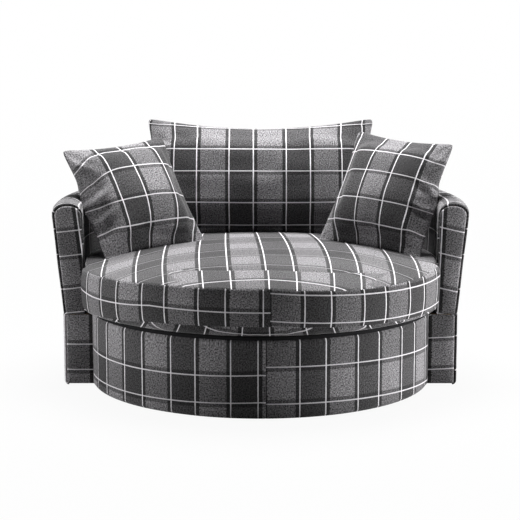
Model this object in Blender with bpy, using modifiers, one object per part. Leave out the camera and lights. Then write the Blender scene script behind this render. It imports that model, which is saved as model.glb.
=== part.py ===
"""Swivel barrel chair: a round upholstered chair that turns on a floor base, with loose cushions.

Metres, +Z up. The origin is on the floor, on the swivel axis, and the chair faces -Y.
"""

import math

import bmesh
import bpy
from mathutils import Matrix, Vector
from mathutils.bvhtree import BVHTree

# Clearances
GAP = 0.0003                    # between pieces that touch
SOFT_GAP = 0.0005               # between a loose cushion and what it rests on
OVERRUN = 0.010                 # how far a cutter passes the face that it cuts

# Floor base
GLIDE_HEIGHT = 0.008
GLIDE_RADIUS = 0.024
BASE_ARM_LENGTH = 0.400
BASE_ARM_WIDTH = 0.045
BASE_ARM_HEIGHT = 0.022
BASE_ARM_START = 0.055          # distance of an arm's inner end from the swivel axis
PLATE_RADIUS = 0.150
PLATE_THICKNESS = 0.004
BALL_DIAMETER = 0.008
BALL_CIRCLE_RADIUS = 0.115
BALL_CAGE_WIDTH = 0.014
BALL_CAGE_THICKNESS = 0.003
BALL_COUNT = 12
PIVOT_RADIUS = 0.010
PIVOT_HEAD_RADIUS = 0.022
PIVOT_HEAD_HEIGHT = 0.006
PIVOT_NUT_RADIUS = 0.018
PIVOT_NUT_HEIGHT = 0.009

# Plan of the chair: every curved part lies round one centre
WELL_RADIUS = 0.6195            # inside face of the barrel at the seat
WELL_FLARE = 0.0075             # how much wider the inside face is at the arm
BARREL_BASE_WALL = 0.064        # thickness of the upholstered barrel at the seam
BARREL_TOP_WALL = 0.0975        # and at the arm
DRUM_SETBACK = 0.0195           # how far the drum lies inside the well's radius
ARM_FRONT = 0.130               # distance of the arms' front faces ahead of the centre

# Heights
FLOOR_CLEARANCE = 0.012
SEAM_HEIGHT = 0.256             # between the lower shell and the arms
DRUM_LIP = 0.009                # how far the drum's rolled edge stands above the seam
DECK_THICKNESS = 0.0199
ARM_HEIGHT = 0.632
ARM_ROLL = 0.034                # height of the rounded top of the arm
BACK_RISE = 0.028

# Boards and padding
BOARD_THICKNESS = 0.018
PANEL_THICKNESS = 0.005         # bent panels
DRUM_PADDING = 0.012
SHELL_PADDING = 0.013
INSIDE_PADDING = 0.016
FRONT_PADDING = 0.014           # flat panels that close the arms and the lower shell
ACCESS_HOLE_RADIUS = 0.045
SEAT_FRAME_WIDTH = 0.0824       # of the ring that carries the springs, at the drum
POST_WIDTH = 0.060
POST_DEPTH = 0.030
RAIL_HEIGHT = 0.022
DUST_COVER_THICKNESS = 0.0015

# Seat springs
SPRING_COUNT = 6
SPRING_SPACING = 0.150
SPRING_WIRE = 0.0035
SPRING_PITCH = 0.090
SPRING_SWING = 0.025
SPRING_SEAT = 0.020             # length of each end that lies on the frame

# Seat cushion
SEAT_OVERHANG = 0.0065          # how far its front arc passes the well's radius
SEAT_SIDE_GAP = 0.004
SEAT_SHOULDER = 0.030           # length over which the cushion widens ahead of the arms
SEAT_CHEEK = 0.010              # how far it then bulges past its front arc
SEAT_CROWN = 0.037              # rise of the top above its seam
SEAT_BAND = 0.124               # height of the band between the two seams
SEAT_UNDERCUT = 0.034           # height of the lower seam above the flat underside
SEAM_TUCK = 0.008               # how far the seams are drawn in from the band
COVER_THICKNESS = 0.008         # cloth and wadding of every loose cushion
ZIP_THICKNESS = 0.004
ZIP_SHARE = 0.45                # length of a pillow's zip as a share of its edge

# Back cushion
BACK_CUSHION_WIDTH = 0.840
BACK_CUSHION_HEIGHT = 0.440
BACK_CUSHION_DEPTH = 0.190
BACK_CUSHION_PULL = 0.026       # how far each edge is drawn in between its corners
BACK_CUSHION_BOW = 0.070        # how far the ends curve forward
BACK_CUSHION_LEAN = math.radians(18)

# Throw pillows
PILLOW_SIZE = 0.420
PILLOW_DEPTH = 0.160
PILLOW_PULL = 0.018
PILLOW_YAW = math.radians(34)
LEFT_PILLOW_LEAN = math.radians(34)
RIGHT_PILLOW_LEAN = math.radians(28)
PILLOW_ROLL = math.radians(4)
PILLOW_SIDE = 0.370             # distance of a pillow's middle from the chair's middle plane
PILLOW_BACK = 0.010             # distance of a pillow's middle behind the centre of the barrel

# Facets
ARC_STEPS = 30
SEAT_FRONT_STEPS = 16
SEAT_REAR_STEPS = 20
SEAT_ZIP_FACETS = 4
ROUND_STEPS = 32
BACK_OFF_STEPS = 40             # most soft gaps that a cushion is drawn back to come clear

# Sizes that follow
DRUM_RADIUS = WELL_RADIUS - DRUM_SETBACK
SHELL_BASE_RADIUS = WELL_RADIUS + BARREL_BASE_WALL
SHELL_TOP_RADIUS = WELL_RADIUS + BARREL_TOP_WALL
SEAT_FRONT_RADIUS = WELL_RADIUS + SEAT_OVERHANG
CENTRE_Y = (SEAT_FRONT_RADIUS - SHELL_TOP_RADIUS) / 2
ROLL_HEIGHT = ARM_HEIGHT - ARM_ROLL
ARM_BOTTOM_Z = GLIDE_HEIGHT + GAP
LOWER_PLATE_Z = ARM_BOTTOM_Z + BASE_ARM_HEIGHT + GAP
BALLS_Z = LOWER_PLATE_Z + PLATE_THICKNESS + GAP
UPPER_PLATE_Z = BALLS_Z + BALL_DIAMETER + GAP
BASE_BOARD_Z = UPPER_PLATE_Z + PLATE_THICKNESS + GAP
BASE_BOARD_TOP = BASE_BOARD_Z + BOARD_THICKNESS
SEAT_FRAME_TOP = SEAM_HEIGHT - GAP
SEAT_FRAME_Z = SEAT_FRAME_TOP - BOARD_THICKNESS
DRUM_PANEL_RADIUS = DRUM_RADIUS - DRUM_PADDING - GAP
DRUM_INNER_RADIUS = DRUM_PANEL_RADIUS - PANEL_THICKNESS - GAP
SHELL_PANEL_RADIUS = SHELL_BASE_RADIUS - SHELL_PADDING - GAP
SHELL_INNER_RADIUS = SHELL_PANEL_RADIUS - PANEL_THICKNESS - GAP
SPRING_WELL_RADIUS = DRUM_INNER_RADIUS - SEAT_FRAME_WIDTH
DRUM_HEIGHT = SEAM_HEIGHT + DRUM_LIP
SPRING_Z = SEAM_HEIGHT + SPRING_WIRE / 2
DECK_Z = SEAM_HEIGHT + SPRING_WIRE + GAP
DECK_TOP = DECK_Z + DECK_THICKNESS
SEAT_BOTTOM = DECK_TOP + GAP
SEAT_BOTTOM_SEAM = SEAT_BOTTOM + SEAT_UNDERCUT
SEAT_TOP_SEAM = SEAT_BOTTOM_SEAM + SEAT_BAND
SEAT_CROWN_HEIGHT = SEAT_TOP_SEAM + SEAT_CROWN
SHOULDER_X = math.sqrt(DRUM_INNER_RADIUS ** 2 - (ARM_FRONT + GAP) ** 2)

parts = bpy.data.collections.new("swivel_barrel_chair")
cutters = bpy.data.collections.new("cutters")


def clear_scene():
    for obj in list(bpy.data.objects):
        bpy.data.objects.remove(obj, do_unlink=True)
    bpy.context.scene.collection.children.link(parts)
    bpy.context.scene.collection.children.link(cutters)
    cutters.hide_render = True


def make_material(name, color, roughness, metallic=0.0):
    material = bpy.data.materials.new(name)
    material.use_nodes = True
    shader = material.node_tree.nodes["Principled BSDF"]
    shader.inputs["Base Color"].default_value = (*color, 1)
    shader.inputs["Roughness"].default_value = roughness
    shader.inputs["Metallic"].default_value = metallic
    return material


def add_object(name, data, material, parent=None):
    obj = bpy.data.objects.new(name, data)
    parts.objects.link(obj)
    obj.data.materials.append(material)
    obj.parent = parent
    return obj


def mesh_object(name, mesh, material, parent=None):
    """Makes an object of a bmesh, with its faces turned outwards."""
    bmesh.ops.recalc_face_normals(mesh, faces=mesh.faces)
    if mesh.calc_volume(signed=True) < 0:
        bmesh.ops.reverse_faces(mesh, faces=mesh.faces)
    data = bpy.data.meshes.new(name)
    mesh.to_mesh(data)
    mesh.free()
    data.shade_smooth()
    data.set_sharp_from_angle(angle=math.radians(40))
    return add_object(name, data, material, parent)


def as_cutter(obj):
    parts.objects.unlink(obj)
    cutters.objects.link(obj)
    obj.hide_render = True
    obj.display_type = "WIRE"
    return obj


def boolean(obj, other, operation="DIFFERENCE"):
    modifier = obj.modifiers.new(operation.lower(), "BOOLEAN")
    modifier.operation = operation
    modifier.object = other


def plate(name, outlines, bottom, top, material, parent=None):
    """A flat board: the first outline is its edge, and any others are holes through it."""
    curve = bpy.data.curves.new(name, "CURVE")
    curve.dimensions = "2D"
    curve.fill_mode = "BOTH"
    curve.extrude = (top - bottom) / 2
    for outline in outlines:
        spline = curve.splines.new("POLY")
        spline.points.add(len(outline) - 1)
        for point, (x, y) in zip(spline.points, outline):
            point.co = (x, y, 0, 1)
        spline.use_cyclic_u = True
    obj = add_object(name, curve, material, parent)
    obj.location.z = (bottom + top) / 2
    return obj


def turned(name, profile, material, parent=None, steps=ROUND_STEPS):
    """Turns a profile of (radius, height), listed down its outer side, round the swivel axis."""
    mesh = bmesh.new()
    verts = [mesh.verts.new((radius, 0, height)) for radius, height in profile]
    for first, second in zip(verts, verts[1:]):
        mesh.edges.new((first, second))
    if profile[-1][0] > 0:
        mesh.edges.new((verts[-1], verts[0]))
    data = bpy.data.meshes.new(name)
    mesh.to_mesh(data)
    mesh.free()
    obj = add_object(name, data, material, parent)
    screw = obj.modifiers.new("turn", "SCREW")
    screw.steps = steps
    screw.render_steps = steps
    screw.use_merge_vertices = True
    screw.merge_threshold = GAP / 10
    screw.use_smooth_shade = True
    return obj


def circle(radius, steps=ROUND_STEPS, centre=(0, 0)):
    turns = [2 * math.pi * i / steps for i in range(steps)]
    return [(centre[0] + radius * math.cos(a), centre[1] + radius * math.sin(a)) for a in turns]


# The barrel's arcs. A rear arc runs from the right arm round the back to the left arm, and a
# front arc runs from there round the front. Both end on planes square to Y.


def arc_angles(radius, ahead, rear=True):
    """Start and end angle of the arc of this radius that ends on a plane this far ahead of the centre."""
    dip = math.asin(ahead / radius)
    if rear:
        return -dip, math.pi + dip
    return math.pi + dip, 2 * math.pi - dip


def arc_point(radius, share, ahead, rear=True):
    """A point on the faceted arc, with share 0 at its start and 1 at its end.

    Arcs of every radius turn at the same angles, so their facets lie parallel.
    """
    start, end = arc_angles(SHELL_BASE_RADIUS if rear else DRUM_RADIUS, ahead, rear)
    own_ends = dict(zip((0, ARC_STEPS), arc_angles(radius, ahead, rear)))
    step = min(int(share * ARC_STEPS), ARC_STEPS - 1)
    ends = []
    for i in (step, step + 1):
        angle = own_ends.get(i, start + (end - start) * i / ARC_STEPS)
        ends.append(Vector((radius * math.cos(angle), radius * math.sin(angle))))
    return ends[0].lerp(ends[1], share * ARC_STEPS - step)


REAR_AHEAD = ARM_FRONT - FRONT_PADDING - GAP
FRONT_AHEAD = ARM_FRONT + GAP


def swept(name, section, material, parent, rear=True, shares=(0, 1)):
    """Sweeps a closed section of (radius, height), which may change with the share, along an arc."""
    ahead = REAR_AHEAD if rear else FRONT_AHEAD
    inside = [i / ARC_STEPS for i in range(ARC_STEPS + 1) if shares[0] < i / ARC_STEPS < shares[1]]
    rings = []
    mesh = bmesh.new()
    for share in [shares[0], *inside, shares[1]]:
        ring = []
        for radius, height in section(share):
            x, y = arc_point(radius, share, ahead, rear)
            ring.append(mesh.verts.new((x, y + CENTRE_Y, height)))
        rings.append(ring)
    close_rings(mesh, rings)
    return mesh_object(name, mesh, material, parent)


def close_rings(mesh, rings):
    """Skins a row of rings of equal length, and caps the first and the last.

    Each cell is split from its lower first corner, so that faces that lie side by side match.
    """
    count = len(rings[0])
    for first, second in zip(rings, rings[1:]):
        for i in range(count):
            low, high = sorted((i, (i + 1) % count), key=lambda k: (first[k].co.z, k))
            mesh.faces.new((first[low], first[high], second[high]))
            mesh.faces.new((first[low], second[high], second[low]))
    mesh.faces.new(rings[0])
    mesh.faces.new(rings[-1])


def front_panel(name, section, side, material, parent):
    """A flat padded panel of this section, which closes the barrel at one side's front."""
    mesh = bmesh.new()
    rings = []
    for ahead in (ARM_FRONT, ARM_FRONT - FRONT_PADDING):
        ring = []
        for radius, height in section:
            x = math.sqrt(radius ** 2 - ahead ** 2)
            ring.append(mesh.verts.new((side * x, CENTRE_Y - ahead, height)))
        rings.append(ring)
    close_rings(mesh, rings)
    return mesh_object(name, mesh, material, parent)


def rise(share):
    """How much higher the barrel's top is here than at the arms' fronts."""
    return BACK_RISE * (1 - math.cos(2 * math.pi * share)) / 2


def outer_radius(height, top):
    lean = (height - SEAM_HEIGHT) / (top - SEAM_HEIGHT)
    return SHELL_BASE_RADIUS + (SHELL_TOP_RADIUS - SHELL_BASE_RADIUS) * lean


def inner_radius(height, top):
    return WELL_RADIUS + WELL_FLARE * (height - SEAM_HEIGHT) / (top - SEAM_HEIGHT)


def between(radius, bottom, top, offset, thickness):
    """A section that follows a leaning face, this far outside it, negative towards the centre."""
    return [
        (radius(bottom) + offset, bottom),
        (radius(bottom) + offset + thickness, bottom),
        (radius(top) + offset + thickness, top),
        (radius(top) + offset, top),
    ]


def plan_outline(front_radius, rear_radius, shoulder_x):
    """The chair's outline: a narrower front arc, a step at each arm and a wider rear arc."""
    outline = []
    for i in range(ARC_STEPS + 1):
        x, y = arc_point(rear_radius, i / ARC_STEPS, REAR_AHEAD)
        outline.append((x, y + CENTRE_Y))
    outline.append((-shoulder_x, CENTRE_Y - REAR_AHEAD))
    for i in range(ARC_STEPS + 1):
        x, y = arc_point(front_radius, i / ARC_STEPS, FRONT_AHEAD, rear=False)
        outline.append((x, y + CENTRE_Y))
    outline.append((shoulder_x, CENTRE_Y - REAR_AHEAD))
    return outline


# Floor base


def base_arm(index, steel, nylon, base):
    """One steel arm of the floor base, with the glide under its end."""
    turn = Matrix.Rotation(math.pi / 4 + index * math.pi / 2, 4, "Z")
    mesh = bmesh.new()
    middle = BASE_ARM_START + BASE_ARM_LENGTH / 2
    place = Matrix.Translation((middle, 0, ARM_BOTTOM_Z + BASE_ARM_HEIGHT / 2))
    size = Matrix.Diagonal((BASE_ARM_LENGTH, BASE_ARM_WIDTH, BASE_ARM_HEIGHT, 1))
    bmesh.ops.create_cube(mesh, size=1, matrix=turn @ place @ size)
    mesh_object(f"base_arm_{index + 1}", mesh, steel, base)

    mesh = bmesh.new()
    glide_x = BASE_ARM_START + BASE_ARM_LENGTH - GLIDE_RADIUS
    place = Matrix.Translation((glide_x, 0, GLIDE_HEIGHT / 2))
    bmesh.ops.create_cone(
        mesh, cap_ends=True, segments=ROUND_STEPS, radius1=GLIDE_RADIUS, radius2=GLIDE_RADIUS,
        depth=GLIDE_HEIGHT, matrix=turn @ place,
    )
    mesh_object(f"floor_glide_{index + 1}", mesh, nylon, base)


def swivel_bearing(steel, base, chair):
    """Two plates with a ring of balls between them, held by the pivot bolt and its nut."""
    bore = PIVOT_RADIUS + GAP
    for name, bottom, parent in (
        ("lower_plate", LOWER_PLATE_Z, base),
        ("upper_plate", UPPER_PLATE_Z, chair),
    ):
        top = bottom + PLATE_THICKNESS
        plate(name, [circle(PLATE_RADIUS), circle(bore)], bottom, top, steel, parent)

    middle = BALLS_Z + BALL_DIAMETER / 2
    half = BALL_CAGE_THICKNESS / 2
    inner = BALL_CIRCLE_RADIUS - BALL_CAGE_WIDTH / 2
    outer = BALL_CIRCLE_RADIUS + BALL_CAGE_WIDTH / 2
    cage_profile = [
        (outer, middle + half), (outer, middle - half), (inner, middle - half), (inner, middle + half)
    ]
    cage = turned("ball_ring", cage_profile, steel, base, steps=2 * BALL_COUNT)
    mesh = bmesh.new()
    for x, y in circle(BALL_CIRCLE_RADIUS, BALL_COUNT):
        bmesh.ops.create_uvsphere(
            mesh, u_segments=8, v_segments=6, radius=BALL_DIAMETER / 2,
            matrix=Matrix.Translation((x, y, middle)),
        )
    balls = as_cutter(mesh_object("balls", mesh, steel))
    boolean(cage, balls, "UNION")

    head_top = LOWER_PLATE_Z - GAP
    nut_bottom = UPPER_PLATE_Z + PLATE_THICKNESS + GAP
    nut_top = nut_bottom + PIVOT_NUT_HEIGHT
    bolt_profile = [
        (0, nut_top + GAP), (PIVOT_RADIUS, nut_top + GAP), (PIVOT_RADIUS, head_top),
        (PIVOT_HEAD_RADIUS, head_top), (PIVOT_HEAD_RADIUS, head_top - PIVOT_HEAD_HEIGHT),
        (0, head_top - PIVOT_HEAD_HEIGHT),
    ]
    turned("pivot_bolt", bolt_profile, steel, base)
    outlines = [circle(PIVOT_NUT_RADIUS, 6), circle(bore)]
    plate("pivot_nut", outlines, nut_bottom, nut_top, steel, base)


# Frame of the chair


def lower_frame(wood, board, cloth, chair):
    outline = plan_outline(DRUM_INNER_RADIUS, SHELL_INNER_RADIUS, SHOULDER_X)
    plate("base_board", [outline, circle(ACCESS_HOLE_RADIUS)], BASE_BOARD_Z, BASE_BOARD_TOP, wood, chair)
    well = circle(SPRING_WELL_RADIUS, centre=(0, CENTRE_Y))
    plate("seat_frame", [outline, well], SEAT_FRAME_Z, SEAT_FRAME_TOP, wood, chair)
    dust_top = BASE_BOARD_Z - GAP
    dust_outlines = [circle(BASE_ARM_START + BASE_ARM_LENGTH), circle(PLATE_RADIUS + GAP)]
    plate("dust_cover", dust_outlines, dust_top - DUST_COVER_THICKNESS, dust_top, cloth, chair)

    post_bottom = BASE_BOARD_TOP + GAP
    post_top = SEAT_FRAME_Z - GAP
    middle_shares = (1 / 6, 1 / 2, 5 / 6)
    for rear, name, radius in ((False, "front", DRUM_INNER_RADIUS), (True, "rear", SHELL_INNER_RADIUS)):
        half_share = POST_WIDTH / (2 * math.pi * radius)
        section = [
            (radius - POST_DEPTH, post_bottom), (radius, post_bottom),
            (radius, post_top), (radius - POST_DEPTH, post_top),
        ]
        for i, share in enumerate(middle_shares):
            shares = (share - half_share, share + half_share)
            swept(f"lower_{name}_post_{i + 1}", lambda share: section, wood, chair, rear, shares)

    drum = between(lambda height: DRUM_PANEL_RADIUS - PANEL_THICKNESS,
                   FLOOR_CLEARANCE, SEAT_FRAME_TOP, 0, PANEL_THICKNESS)
    swept("drum_panel", lambda share: drum, board, chair, rear=False)
    shell = between(lambda height: SHELL_PANEL_RADIUS - PANEL_THICKNESS,
                    FLOOR_CLEARANCE, SEAT_FRAME_TOP, 0, PANEL_THICKNESS)
    swept("lower_shell_panel", lambda share: shell, board, chair)


def seat_springs(steel, chair):
    """Sinuous springs that run front to back over the well and lie on the seat frame."""
    for i in range(SPRING_COUNT):
        x = (i - (SPRING_COUNT - 1) / 2) * SPRING_SPACING
        reach = math.sqrt(SPRING_WELL_RADIUS ** 2 - x ** 2) + SPRING_SEAT
        waves = max(2, round(2 * reach / SPRING_PITCH))
        curve = bpy.data.curves.new(f"seat_spring_{i + 1}", "CURVE")
        curve.dimensions = "3D"
        curve.bevel_depth = SPRING_WIRE / 2
        curve.bevel_resolution = 1
        curve.use_fill_caps = True
        spline = curve.splines.new("POLY")
        spline.points.add(2 * waves)
        for k, point in enumerate(spline.points):
            swing = SPRING_SWING * (0, 1, 0, -1)[k % 4]
            y = CENTRE_Y - reach + 2 * reach * k / (2 * waves)
            point.co = (x + swing, y, SPRING_Z, 1)
        add_object(f"seat_spring_{i + 1}", curve, steel, chair)


def upper_frame(wood, board, chair):
    """Posts, a curved rail and two bent panels inside the barrel above the seam."""
    rail_top = ROLL_HEIGHT - GAP

    def rail_section(share):
        top = ROLL_HEIGHT + rise(share)
        high = rail_top + rise(share)
        inner = inner_radius(high, top) + INSIDE_PADDING + GAP
        outer = outer_radius(high, top) - SHELL_PADDING - 2 * GAP
        low = high - RAIL_HEIGHT
        outer_low = outer_radius(low, top) - SHELL_PADDING - 2 * GAP
        return [(inner, low), (outer_low, low), (outer, high), (inner, high)]

    def panel_section(share, radius, offset):
        top = ROLL_HEIGHT + rise(share)
        high = rail_top + rise(share) - RAIL_HEIGHT - GAP
        return between(lambda height: radius(height, top), SEAM_HEIGHT, high, offset, PANEL_THICKNESS)

    def post_section(share):
        top = ROLL_HEIGHT + rise(share)
        high = rail_top + rise(share) - RAIL_HEIGHT - GAP
        inner_offset = INSIDE_PADDING + PANEL_THICKNESS + 3 * GAP
        outer_offset = SHELL_PADDING + PANEL_THICKNESS + 3 * GAP
        return [
            (inner_radius(SEAM_HEIGHT, top) + inner_offset, SEAM_HEIGHT),
            (outer_radius(SEAM_HEIGHT, top) - outer_offset, SEAM_HEIGHT),
            (outer_radius(high, top) - outer_offset, high),
            (inner_radius(high, top) + inner_offset, high),
        ]

    swept("top_rail", rail_section, wood, chair)
    inside = INSIDE_PADDING + GAP
    outside = -SHELL_PADDING - PANEL_THICKNESS - GAP
    swept("inside_panel", lambda share: panel_section(share, inner_radius, inside), board, chair)
    swept("outside_panel", lambda share: panel_section(share, outer_radius, outside), board, chair)
    half_share = POST_WIDTH / (2 * math.pi * WELL_RADIUS)
    post_shares = (half_share, 1 / 4, 1 / 2, 3 / 4, 1 - half_share)
    for i, share in enumerate(post_shares):
        shares = (max(0, share - half_share), min(1, share + half_share))
        swept(f"upper_post_{i + 1}", post_section, wood, chair, shares=shares)


# Upholstery that is fixed to the frame


def roll_arc(share, count=6):
    """Points over the rounded top of the arm, from the inside face to the outside face."""
    base = ROLL_HEIGHT + rise(share)
    inner = inner_radius(base, base)
    outer = SHELL_TOP_RADIUS
    middle = (inner + outer) / 2
    half = (outer - inner) / 2
    square_share = 0.75         # 1 is an ellipse, and less is squarer
    points = []
    for i in range(count + 1):
        angle = math.pi * (1 - i / count)
        across = math.copysign(abs(math.cos(angle)) ** square_share, math.cos(angle))
        points.append((middle + half * across, base + ARM_ROLL * math.sin(angle) ** square_share))
    return points


def inside_section(share):
    """The padding inside the barrel and over the top of the arms and back."""
    top = ROLL_HEIGHT + rise(share)
    inner = inner_radius(top, top)
    return [
        (inner_radius(SEAM_HEIGHT, top) + INSIDE_PADDING, SEAM_HEIGHT),
        (inner_radius(SEAM_HEIGHT, top), SEAM_HEIGHT),
        *roll_arc(share),
        (inner + INSIDE_PADDING, top),
    ]


def outside_section(share):
    top = ROLL_HEIGHT + rise(share)
    return between(lambda height: outer_radius(height, top),
                   SEAM_HEIGHT + GAP, top - GAP, -SHELL_PADDING, SHELL_PADDING)


def fixed_upholstery(cloth, deck_cloth, chair):
    drum_inner = DRUM_RADIUS - DRUM_PADDING
    lip = DRUM_INNER_RADIUS
    edge = DRUM_HEIGHT - SEAM_HEIGHT
    drum_section = [
        (drum_inner, FLOOR_CLEARANCE), (DRUM_RADIUS, FLOOR_CLEARANCE),
        (DRUM_RADIUS, SEAM_HEIGHT), (DRUM_RADIUS - edge / 2, DRUM_HEIGHT),
        (lip, DRUM_HEIGHT), (lip, SEAM_HEIGHT), (drum_inner, SEAM_HEIGHT),
    ]
    swept("drum_cover", lambda share: drum_section, cloth, chair, rear=False)
    shell = between(lambda height: SHELL_BASE_RADIUS - SHELL_PADDING,
                    FLOOR_CLEARANCE, SEAT_FRAME_TOP, 0, SHELL_PADDING)
    swept("lower_shell_cover", lambda share: shell, cloth, chair)
    swept("inside_cover", inside_section, cloth, chair)
    swept("outside_cover", outside_section, cloth, chair)

    arm_section = [
        (WELL_RADIUS, SEAM_HEIGHT), *roll_arc(0), (SHELL_BASE_RADIUS, SEAM_HEIGHT)
    ]
    inner = math.hypot(SHOULDER_X + GAP, ARM_FRONT)
    lower_section = [
        (inner, FLOOR_CLEARANCE), (SHELL_BASE_RADIUS, FLOOR_CLEARANCE),
        (SHELL_BASE_RADIUS, SEAT_FRAME_TOP), (inner, SEAT_FRAME_TOP),
    ]
    for side, name in ((-1, "left"), (1, "right")):
        front_panel(f"{name}_arm_front", arm_section, side, cloth, chair)
        front_panel(f"{name}_base_front", lower_section, side, cloth, chair)

    deck = plan_outline(lip - GAP, WELL_RADIUS - GAP, SHOULDER_X - GAP)
    plate("deck_pad", [deck], DECK_Z, DECK_TOP, deck_cloth, chair)


# Loose cushions


def seat_plan():
    """Angle and radius of each point round the seat cushion's band, from the right arm backwards.

    Between the arms the cushion fits the barrel. Ahead of them it widens to its front arc.
    """
    rear_radius = WELL_RADIUS - SEAT_SIDE_GAP
    rear_dip = math.asin((ARM_FRONT + GAP) / rear_radius)
    front_dip = math.asin((ARM_FRONT + SEAT_SHOULDER) / SEAT_FRONT_RADIUS)
    plan = []
    for i in range(SEAT_REAR_STEPS + 1):
        plan.append((-rear_dip + (math.pi + 2 * rear_dip) * i / SEAT_REAR_STEPS, rear_radius))
    for i in range(SEAT_FRONT_STEPS + 1):
        angle = math.pi + front_dip + (math.pi - 2 * front_dip) * i / SEAT_FRONT_STEPS
        plan.append((angle, SEAT_FRONT_RADIUS + SEAT_CHEEK * math.cos(angle) ** 4))
    return plan


def seat_form(name, inset, material, parent):
    """The seat cushion's crowned form, drawn in by the inset on every side."""
    crown = SEAT_CROWN_HEIGHT - inset
    seam = SEAT_TOP_SEAM - inset
    bottom = SEAT_BOTTOM + inset
    lower = SEAT_BOTTOM_SEAM
    middle = (SEAT_TOP_SEAM + SEAT_BOTTOM_SEAM) / 2
    crown_shares = (0.35, 0.62, 0.84)
    crown_power = 2.5           # above 2, the crown is flatter in the middle than a parabola
    slack = SEAM_TUCK / 4       # how far the band falls back halfway to a seam
    heel = 3 * SEAM_TUCK        # how far in the flat underside starts
    mesh = bmesh.new()
    rings = []
    for angle, radius in seat_plan():
        rim = radius - inset
        profile = [
            (share * rim, crown - (crown - seam) * share ** crown_power) for share in crown_shares
        ]
        profile += [
            (rim - SEAM_TUCK, seam), (rim - slack, (seam + middle) / 2), (rim, middle),
            (rim - slack, (lower + middle) / 2), (rim - SEAM_TUCK, lower),
            (rim - slack, (lower + bottom) / 2), (rim - heel, bottom),
        ]
        rings.append([
            mesh.verts.new((r * math.cos(angle), r * math.sin(angle) + CENTRE_Y, z)) for r, z in profile
        ])
    poles = (mesh.verts.new((0, CENTRE_Y, crown)), mesh.verts.new((0, CENTRE_Y, bottom)))
    for first, second in zip(rings, rings[1:] + rings[:1]):
        mesh.faces.new((poles[0], first[0], second[0]))
        for k in range(len(first) - 1):
            mesh.faces.new((first[k], first[k + 1], second[k + 1]))
            mesh.faces.new((first[k], second[k + 1], second[k]))
        mesh.faces.new((poles[1], second[-1], first[-1]))
    return mesh_object(name, mesh, material, parent)


def pillow_form(name, size, pull, bow, cells, inset, material, parent=None):
    """A knife-edge pillow, x wide, y deep and z high, whose edges are drawn in between its corners."""
    width, depth, height = (length - 2 * inset for length in size)
    fullness_share = 0.42       # less is fuller towards the edges
    columns, rows = cells
    mesh = bmesh.new()
    sides = {}
    for i in range(columns + 1):
        for j in range(rows + 1):
            u = math.sin(math.pi * (i / columns - 0.5))
            v = math.sin(math.pi * (j / rows - 0.5))
            x = u * (width / 2 - pull * (1 - v * v))
            z = v * (height / 2 - pull * (1 - u * u))
            y = -bow * (2 * x / size[0]) ** 2
            on_edge = i in (0, columns) or j in (0, rows)
            half = 0 if on_edge else depth / 2 * ((1 - u * u) * (1 - v * v)) ** fullness_share
            front = mesh.verts.new((x, y - half, z))
            sides[i, j] = (front, front if on_edge else mesh.verts.new((x, y + half, z)))
    for i in range(columns):
        for j in range(rows):
            # Each cell is split along the diagonal that points to the middle
            corners = [(i, j), (i + 1, j), (i + 1, j + 1), (i, j + 1)]
            if (2 * i < columns) != (2 * j < rows):
                corners = corners[1:] + corners[:1]
            for side in (0, 1):
                a, b, c, d = (sides[corner][side] for corner in corners)
                mesh.faces.new((a, b, c))
                mesh.faces.new((a, c, d))
    return mesh_object(name, mesh, material, parent)


def zip_box(name, size, place, material, parent):
    mesh = bmesh.new()
    bmesh.ops.create_cube(mesh, size=1, matrix=Matrix.Translation(place) @ Matrix.Diagonal((*size, 1)))
    return mesh_object(name, mesh, material, parent)


def seat_strip(name, depth, proud, inset, material, parent):
    """A strip round the back of the seat cushion's band, between two distances from its face."""
    middle = (SEAT_TOP_SEAM + SEAT_BOTTOM_SEAM) / 2
    half = ZIP_THICKNESS / 2 - inset
    mesh = bmesh.new()
    rings = []
    first = (SEAT_REAR_STEPS - SEAT_ZIP_FACETS) // 2
    for i, (angle, rim) in enumerate(seat_plan()[first:first + SEAT_ZIP_FACETS + 1]):
        angle += inset / WELL_RADIUS * {0: 1, SEAT_ZIP_FACETS: -1}.get(i, 0)
        section = [
            (rim - depth, middle - half), (rim + proud, middle - half),
            (rim + proud, middle + half), (rim - depth, middle + half),
        ]
        rings.append([
            mesh.verts.new((r * math.cos(angle), r * math.sin(angle) + CENTRE_Y, z)) for r, z in section
        ])
    close_rings(mesh, rings)
    return mesh_object(name, mesh, material, parent)


def hollow_out(cover, cavity, slot):
    for cutter in (cavity, slot):
        boolean(cover, as_cutter(cutter))


def make_seat_cushion(cloth, foam, trim, parent):
    """The round seat cushion: a cover with a zip at the back, over a foam core."""
    cover = seat_form("seat_cushion_cover", 0, cloth, parent)
    cavity = seat_form("seat_cavity", COVER_THICKNESS, foam, parent)
    seat_form("seat_cushion_core", COVER_THICKNESS + GAP, foam, parent)
    hollow_out(cover, cavity, seat_strip("seat_slot", COVER_THICKNESS + OVERRUN, OVERRUN, 0, trim, parent))
    seat_strip("seat_cushion_zip", COVER_THICKNESS - GAP, -GAP, GAP, trim, parent)
    return cover


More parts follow.
